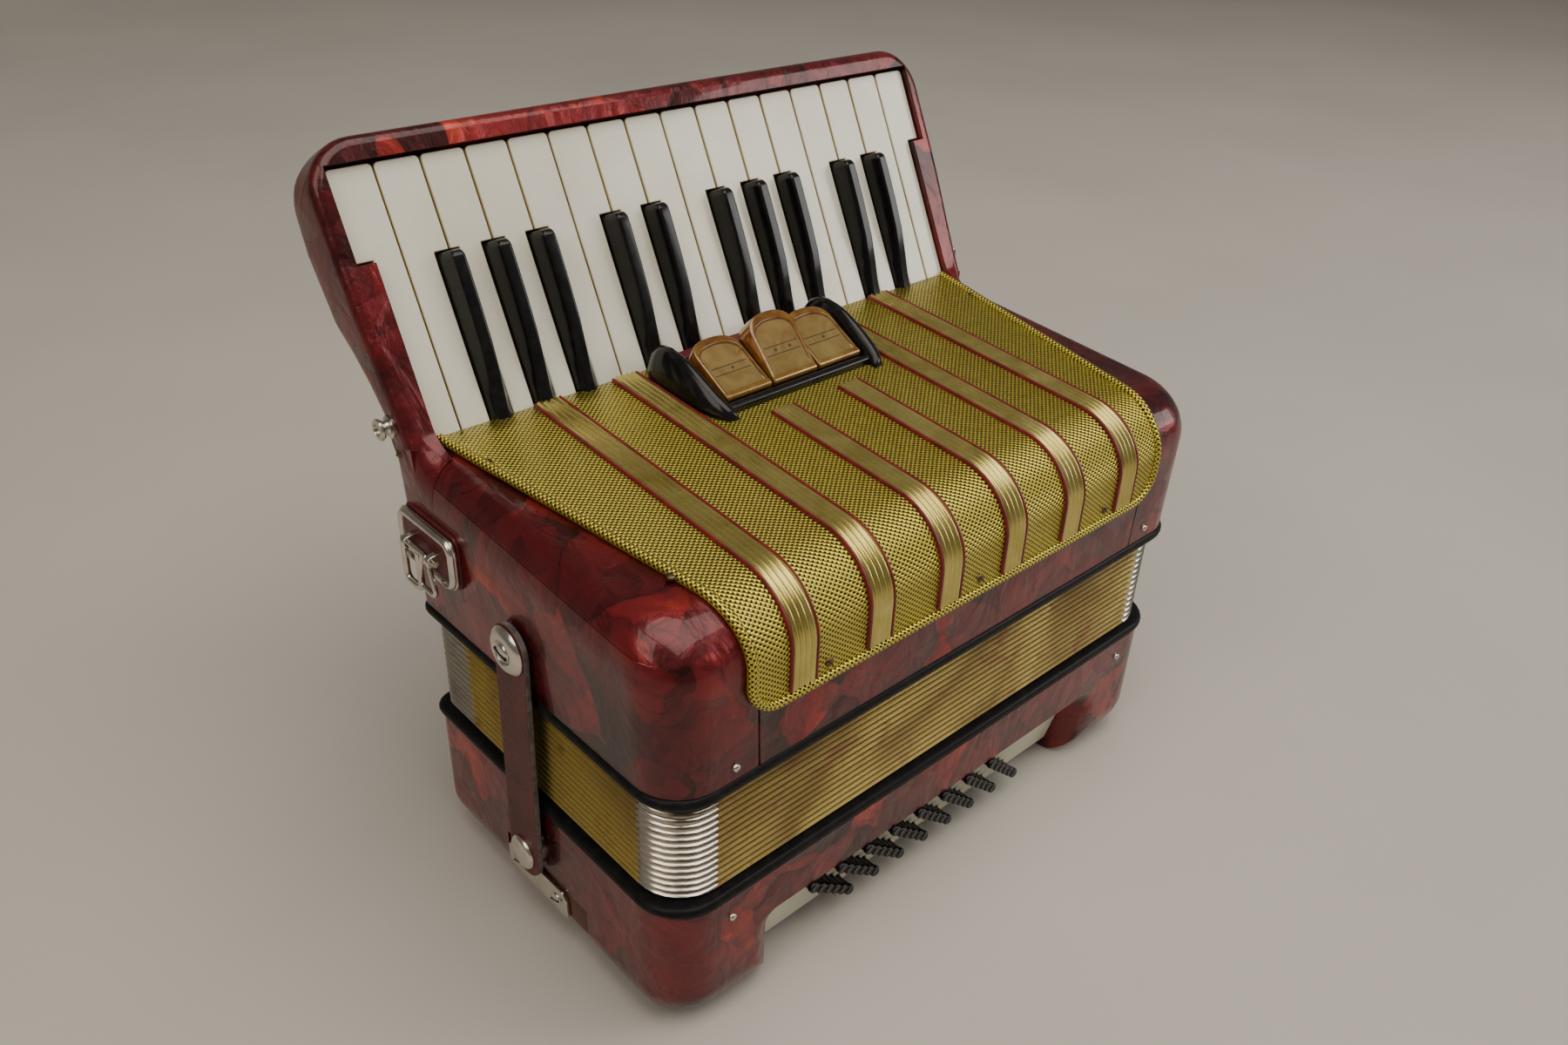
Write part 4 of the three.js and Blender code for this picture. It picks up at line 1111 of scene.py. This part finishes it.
def bellows():
    pitch = (BELLOWS_TOP - BELLOWS_BOTTOM) / BELLOWS_FOLDS
    profile = []
    for fold in range(BELLOWS_FOLDS):
        low = BELLOWS_BOTTOM + fold * pitch
        profile.append((FOLD_DEPTH, low + 0.02))
        for a in map(radians, (-72, -40, 0, 40, 72)):
            depth = 0.2 + 2.2 * (1 - cos(a))
            profile.append((depth, low + pitch * (0.5 + 0.32 * sin(a))))
    profile.append((FOLD_DEPTH, BELLOWS_TOP - 0.02))
    solid = loft([side_ring(BELLOWS_INSET + depth, z) for depth, z in profile], caps=False)
    points = [point - LINE for point in side_ring(BELLOWS_INSET, 0)]
    reach_x = (BASS_HALF - METAL_CORNER + 1) * MM
    front, back = (BODY_FRONT + METAL_CORNER) * MM, (BODY_BACK - METAL_CORNER) * MM
    metal = []
    for a, b in zip(points, points[1:] + points[:1]):
        middle = (a + b) / 2
        metal.append(abs(middle.x) > reach_x and not front <= middle.y <= back)
    indices = []
    # Flanks running into each valley take the painted valley shade.
    for ring in range(len(profile) - 1):
        cloth = 2 if ring % 6 in (0, 5) else 0
        indices += [1 if m else cloth for m in metal]
    looks = [BELLOWS, NICKEL, VALLEY_PAINTED_SHADE]
    folds = piece("bellows_folds", solid, looks, None, indices=indices, sharp=60)
    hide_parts("bellows")
    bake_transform(folds)


def gasket(end, low, high):
    low, high = low + 0.3, high - 0.3
    proud, inside = 1.1, 10
    middle, half = (low + high) / 2, (high - low) / 2
    rings = [side_ring(inside, low)]
    for a in map(radians, range(-90, 91, 20)):
        rings.append(side_ring(0.8 - (proud + 0.8) * cos(a), middle + half * sin(a)))
    rings.append(side_ring(inside, high))
    rings.append(rings[0])
    strip = loft(rings, caps=False)
    piece(f"{end}_gasket_strip", strip, TRIM, f"{end}_body", sharp=60, node=f"{end}_gasket")


# ---- bass end ----
def foot_curve(inset, top):
    """The outline of the feet seen from the front, in (x, z), open at its ends."""
    half, radius = BASS_HALF - inset, FOOT_ROUNDING - inset
    low = FLOOR + inset + radius
    return mirrored([(-half, top)] + arc(-half + radius, low, radius, 180, 270, 10))


def bass_casing():
    levels = [(BASS_TOP, 0, 0), (BASS_TOP - 1, 0, 0)]
    for fall, bend in quarter(9, 0, 10):
        levels.append((FLOOR + FOOT_ROUNDING * (1 - fall), FOOT_ROUNDING * bend, 14 * bend))
    rings = []
    for z, inset, back in levels:
        half, front = BASS_HALF - inset, BODY_FRONT + inset
        points = plan(half, front, BASS_BACK - back, CORNER - inset * 0.6, 8)
        rings.append([at(x, y, z) for x, y in points])
    casing = piece("bass_shell", loft(rings), PEARL, "bass_body")

    flare = FOOT_INNER + FOOT_FLARE
    curve = arc(flare, BODY_FRONT + FOOT_FLARE, FOOT_FLARE, 270, 180, 10)
    between = mirrored([(flare, BODY_FRONT - 30)] + curve + [(FOOT_INNER, 60)])
    tunnel = prism(between, at, FLOOR - 30, TUNNEL_TOP)
    front_part = [(x, min(y, BODY_FRONT + 20)) for x, y in between]
    rounding = 12
    levels = [(FLOOR - 30, 0), (ARCH_TOP - rounding, 0)]
    for rise, bend in quarter(15, 1, 6):
        levels.append((ARCH_TOP - rounding * (1 - rise), rounding * bend))
    rings = []
    for z, inset in levels:
        rings.append([at(x - copysign(inset, x), y, z) for x, y in front_part])
    mouth = loft(rings)
    groove_line = foot_curve(STRAP_THICK + 0.7, GROOVE_TOP)
    trench = [(-200, GROOVE_TOP)] + groove_line + [(200, GROOVE_TOP), (200, -240), (-200, -240)]
    groove = prism(trench, lambda u, v, w: at(u, w, v), STRAP_FRONT - 0.3, STRAP_BACK + 0.3)
    cut(casing, tunnel, mouth, groove)
    smooth(casing)
    bevel(casing, 0.6, 3, 45)
    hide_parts("bass_casing")


def hand_strap():
    """A leather band with clipped edges, laid in the groove round the feet."""
    path = foot_curve(0.5, -168)
    front, back, thick, edge = STRAP_FRONT, STRAP_BACK, STRAP_THICK, 0.9
    section = [(front, edge), (front + edge, 0), (back - edge, 0), (back, edge)]
    section += [(y, thick - depth) for y, depth in reversed(section)]
    rings = []
    for i, (x, z) in enumerate(path):
        ahead = Vector(path[min(i + 1, len(path) - 1)])
        u, w = (ahead - Vector(path[max(i - 1, 0)])).normalized()
        inward = Vector((-w, 0, u))
        rings.append([at(x, y, z) + inward * (depth * MM) for y, depth in section])
    band = loft(rings)
    piece("hand_strap", band, BROWN_LEATHER, "bass_body", sharp=50, node="bass_strap")
    for side, name in SIDES:
        plate, node = strap_plate(side), f"bass_strap_plate_{name}"
        piece(f"strap_end_plate_{name}", plate, NICKEL, "bass_body", edge=(0.5,), node=node)
        for number, y in ((1, -48), (2, -75)):
            centre = at(side * (BASS_HALF + 1.5), y, -175.5)
            title = f"strap_screw_{name}_{number}"
            screw(title, centre, (side, 0, 0), 3.1, NICKEL, "bass_body", 1.0)


def strap_plate(side):
    """Plate bent round the foot, with clipped corners."""
    bend = FLOOR + FOOT_ROUNDING

    def place(y, z, out):
        angle = max(0, bend - z) / FOOT_ROUNDING
        radius = FOOT_ROUNDING + out
        x = BASS_HALF - FOOT_ROUNDING + radius * cos(angle)
        return at(side * x, y, bend - radius * sin(angle) if angle else z)

    rings = []
    for k in range(17):
        z = -184 + 15 * k / 16
        clip = max(0, (-181 - z) / 3 * 4, z + 172)
        front, back = -82 + clip, -40 - clip
        corners = ((front, -0.2), (back, -0.2), (back, 1.6), (front, 1.6))
        rings.append([place(y, z, out) for y, out in corners])
    return loft(rings)


def bass_buttons():
    r, out = BUTTON_RADIUS, BUTTON_OUT
    profile = [(r - 0.35, -4), (r - 0.35, out - 2.6), (r, out - 2.2), (r, out - 0.7)]
    profile += [(r - 0.25, out - 0.25), (r - 0.7, out - 0.05), (r - 1.1, out - 0.2), (0, out - 0.3)]
    for row in range(BUTTON_ROWS):
        z = BUTTON_FIRST[1] + row * ROW_STEP[1]
        y = BOARD_Y + (BOARD_Z - z) * BOARD_SLOPE
        solids = []
        for column in range(BUTTON_COLUMNS):
            x = BUTTON_FIRST[0] + row * ROW_STEP[0] + column * COLUMN_PITCH
            solids.append(lathe(profile, at(x, y, z), (0, -1, 0), 20))
        name = f"bass_button_row_{row + 1}"
        piece(f"bass_buttons_{row + 1}", join(*solids), EBONY, name, sharp=40, node=name)


def air_button():
    profile = [(2.5, -8), (2.5, 3.8), (5.6, 3.8), (6, 4.3), (6, 5.6), (5.4, 6.6), (3.6, 7.2)]
    profile.append((0, 7.5))
    knob = lathe(profile, at(AIR[0], BASS_BACK, AIR[1]), (0, 1, 0), 32)
    piece("air_knob", knob, CREAM, "air_button", sharp=50, node="air_button")


# ---- straps and hardware ----
def closure_straps():
    (y0, z0), (y1, z1) = CLOSURE, CLOSURE_FOOT
    outline = arc(y0, z0, 10, 0, 180, 14) + arc(y1, z1, 10, 180, 360, 14)
    washer = (y0, z0 - 0.5)
    snap = (y1, z1 + 1.5)
    face = CLOSURE_X + STRAP_LEATHER
    cup = [(9.6, 0), (9.9, 0.7), (9.2, 1.7), (7.2, 2.8), (5.4, 3.1), (4.8, 2.6), (4.4, 1.9)]
    cup.append((0, 1.9))
    cap = [(7.4, 0), (7.6, 0.8), (7.0, 1.7), (5.2, 2.4), (0, 2.7)]
    stud = [(6.6, -2.5), (6.6, 2.0), (5.8, 2.5), (0, 2.5)]
    for side, name in SIDES:
        out = (side, 0, 0)
        body = f"closure_strap_{name}"
        solid = prism(outline, sideways, side * CLOSURE_X, side * face)
        indices = [1] * (len(solid[1]) - 2) + [0, 0]
        settings = {"indices": indices, "sharp": 40, "edge": (0.5,), "node": body}
        piece(f"bellows_strap_{name}", solid, [LEATHER, CUT_EDGE], body, **settings)
        fittings = [
            ("cup_washer", cup, face, washer, 36, body),
            ("snap_cap", cap, face, snap, 32, body),
            ("snap_stud", stud, BASS_HALF, snap, 24, "bass_body"),
        ]
        for kind, profile, x, (y, z), steps, rides in fittings:
            turned = lathe(profile, at(side * x, y, z), out, steps)
            piece(f"{kind}_{name}", turned, NICKEL, rides, sharp=50)
            if kind == "cup_washer":
                screw(f"strap_screw_{name}", at(side * (x + 2), y, z), out, 4.0, NICKEL, body, 1.6)


def brackets():
    lug = arc(LOOP_X, 0, 2.5, -90, 90) + [(BRACKET_X + 1, 3), (BRACKET_X + 1, -3)]
    link = [(-5, -1.6, 30, 150), (-8.4, -13, 150, 270), (-1.6, -13, 270, 390)]
    for side, name in SIDES:

        def place(u, v, w):
            return at(side * w, BRACKET[0] + u, BRACKET[1] + v)

        def wire(outline, out, radius):
            return tube([place(u, v, out) for u, v in outline], radius, 12, True)

        plate = prism(rounded_loop(20, 11, 5), place, BRACKET_X, BRACKET_X + 1.4)
        node = f"strap_bracket_{name}"
        piece(f"bracket_plate_{name}", plate, NICKEL, edge=(0.5,), node=node)
        rim = wire(rounded_loop(18.2, 9.2, 4.5), BRACKET_X + 1.4, 1.8)
        piece(f"bracket_rim_{name}", rim, NICKEL, sharp=80)
        inside = prism(rounded_loop(16.8, 7.8, 3.5), place, BRACKET_X + 1, BRACKET_X + 1.7)
        piece(f"bracket_inside_{name}", inside, RED_PLASTIC)
        ears = [prism(lug, lambda w, v, u: place(u, v, w), u - 1.5, u + 1.5) for u in (-9, 9)]
        piece(f"bracket_ears_{name}", join(*ears), NICKEL, sharp=50, edge=(0.4,))
        body = f"strap_loop_{name}"
        ring = wire([(7 + u, v - 9.1) for u, v in rounded_loop(5.6, 9.1, 3)], LOOP_X, 1.3)
        rod = tube([place(u, 0, LOOP_X) for u in (-12.5, 12.5)], 1.2)
        piece(f"wire_loop_{name}", join(ring, rod), NICKEL, body, sharp=60, node=body)
        triangle = [p for u, v, start, end in link for p in arc(u, v, 2.2, start, end, 5)]
        piece(f"wire_link_{name}", wire(triangle, LOOP_X + 0.6, 1.0), NICKEL, body, sharp=80)


def end_knobs():
    profile = [(4.4, -2), (4.4, 0.6), (3.0, 1.2), (2.6, 2.4), (3.8, 3.3), (4.3, 4.2), (4.0, 5.0)]
    profile += [(2.4, 5.3), (2.2, 4.4), (0, 4.4)]
    for side, name in SIDES:
        out = (side, 0, 0)
        piece(f"end_knob_{name}", lathe(profile, at(side * 152.6, 9.5, 3.2), out, 28), NICKEL)
        screw(f"end_screw_{name}", at(side * 151.8, 6.5, -7), out, 2.0, DULL_METAL)


# ---- the instrument ----
treble_casing()
keyboard_frame()
frame_fillets()
for index in range(WHITE_KEYS):
    white_key(index)
for index, (joint, x) in enumerate(black_places()):
    black_key(index, x)
grille()
bands()
grille_screws()
register_housing()
for index, name in enumerate(("left", "middle", "right")):
    register_switch(index, name)
bellows()
gasket("treble", BELLOWS_TOP, TREBLE_BOTTOM)
gasket("bass", BASS_TOP, BELLOWS_BOTTOM)
bass_casing()
hand_strap()
bass_buttons()
air_button()
closure_straps()
brackets()
end_knobs()

CARRIED_OVER = {
    "bass_cover": PEARL,
    "button_board": CREAM,
    "keyboard_axle": STEEL,
    "treble_soundboard": SPRUCE,
    "treble_reed_block": SPRUCE,
    "bass_reed_block": SPRUCE,
}
for node, look in CARRIED_OVER.items():
    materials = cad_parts[node].data.materials
    materials.clear()
    materials.append(look)


# ---- floor, light and camera ----
def stage():
    turn = 1.2
    profile = [(-2.5, 0)] + arc(2.0, turn, turn, 270, 360, 16) + [(2.0 + turn, 4)]
    rings = [[Vector((x, y, z)) for y, z in profile] for x in (-3, 3)]
    sheet = loft(rings, closed=False, caps=False)
    piece("backdrop", sheet, floor_look(), None, sharp=80)


def light(name, place, target, size, power, color=(1, 1, 1)):
    data = bpy.data.lights.new(name, "AREA")
    data.shape = "RECTANGLE"
    data.size, data.size_y = size
    data.energy = power
    data.color = color
    lamp = bpy.data.objects.new(name, data)
    lamp.location = place
    lamp.rotation_euler = (Vector(target) - Vector(place)).to_track_quat("-Z", "Y").to_euler()
    bpy.context.scene.collection.objects.link(lamp)


def camera():
    place = at(-328.67, -384.56, 219.19)
    target = at(-19.69, -61.7, -55.73)
    roll = radians(2.38)
    data = bpy.data.cameras.new("camera")
    data.sensor_width = 36
    data.lens = 28.88
    data.clip_start = 0.01
    view = bpy.data.objects.new("camera", data)
    back = (place - target).normalized()
    across = Vector((0, 0, 1)).cross(back).normalized()
    upward = back.cross(across)
    right = across * cos(roll) + upward * sin(roll)
    up = upward * cos(roll) - across * sin(roll)
    turn = Matrix((right, up, back)).transposed()
    view.matrix_world = Matrix.Translation(place) @ turn.to_4x4()
    bpy.context.scene.collection.objects.link(view)
    bpy.context.scene.camera = view


stage()
camera()
light("window", (-1.5, -0.3, 1.6), (0, 0, 0.12), (1.0, 1.4), 13, (1.0, 0.90, 0.78))
light("ceiling", (0.2, -0.6, 2.2), (0, 0, 0), (2.0, 2.0), 40, (1.0, 0.94, 0.85))
light("side_fill", (1.8, -1.4, 1.0), (0, 0, 0.1), (1.0, 1.0), 15, (1.0, 0.97, 0.93))
world = bpy.data.worlds.new("studio")
world.use_nodes = True
world.node_tree.nodes["Background"].inputs["Color"].default_value = (0.62, 0.58, 0.52, 1)
world.node_tree.nodes["Background"].inputs["Strength"].default_value = 0.26
bpy.context.scene.world = world
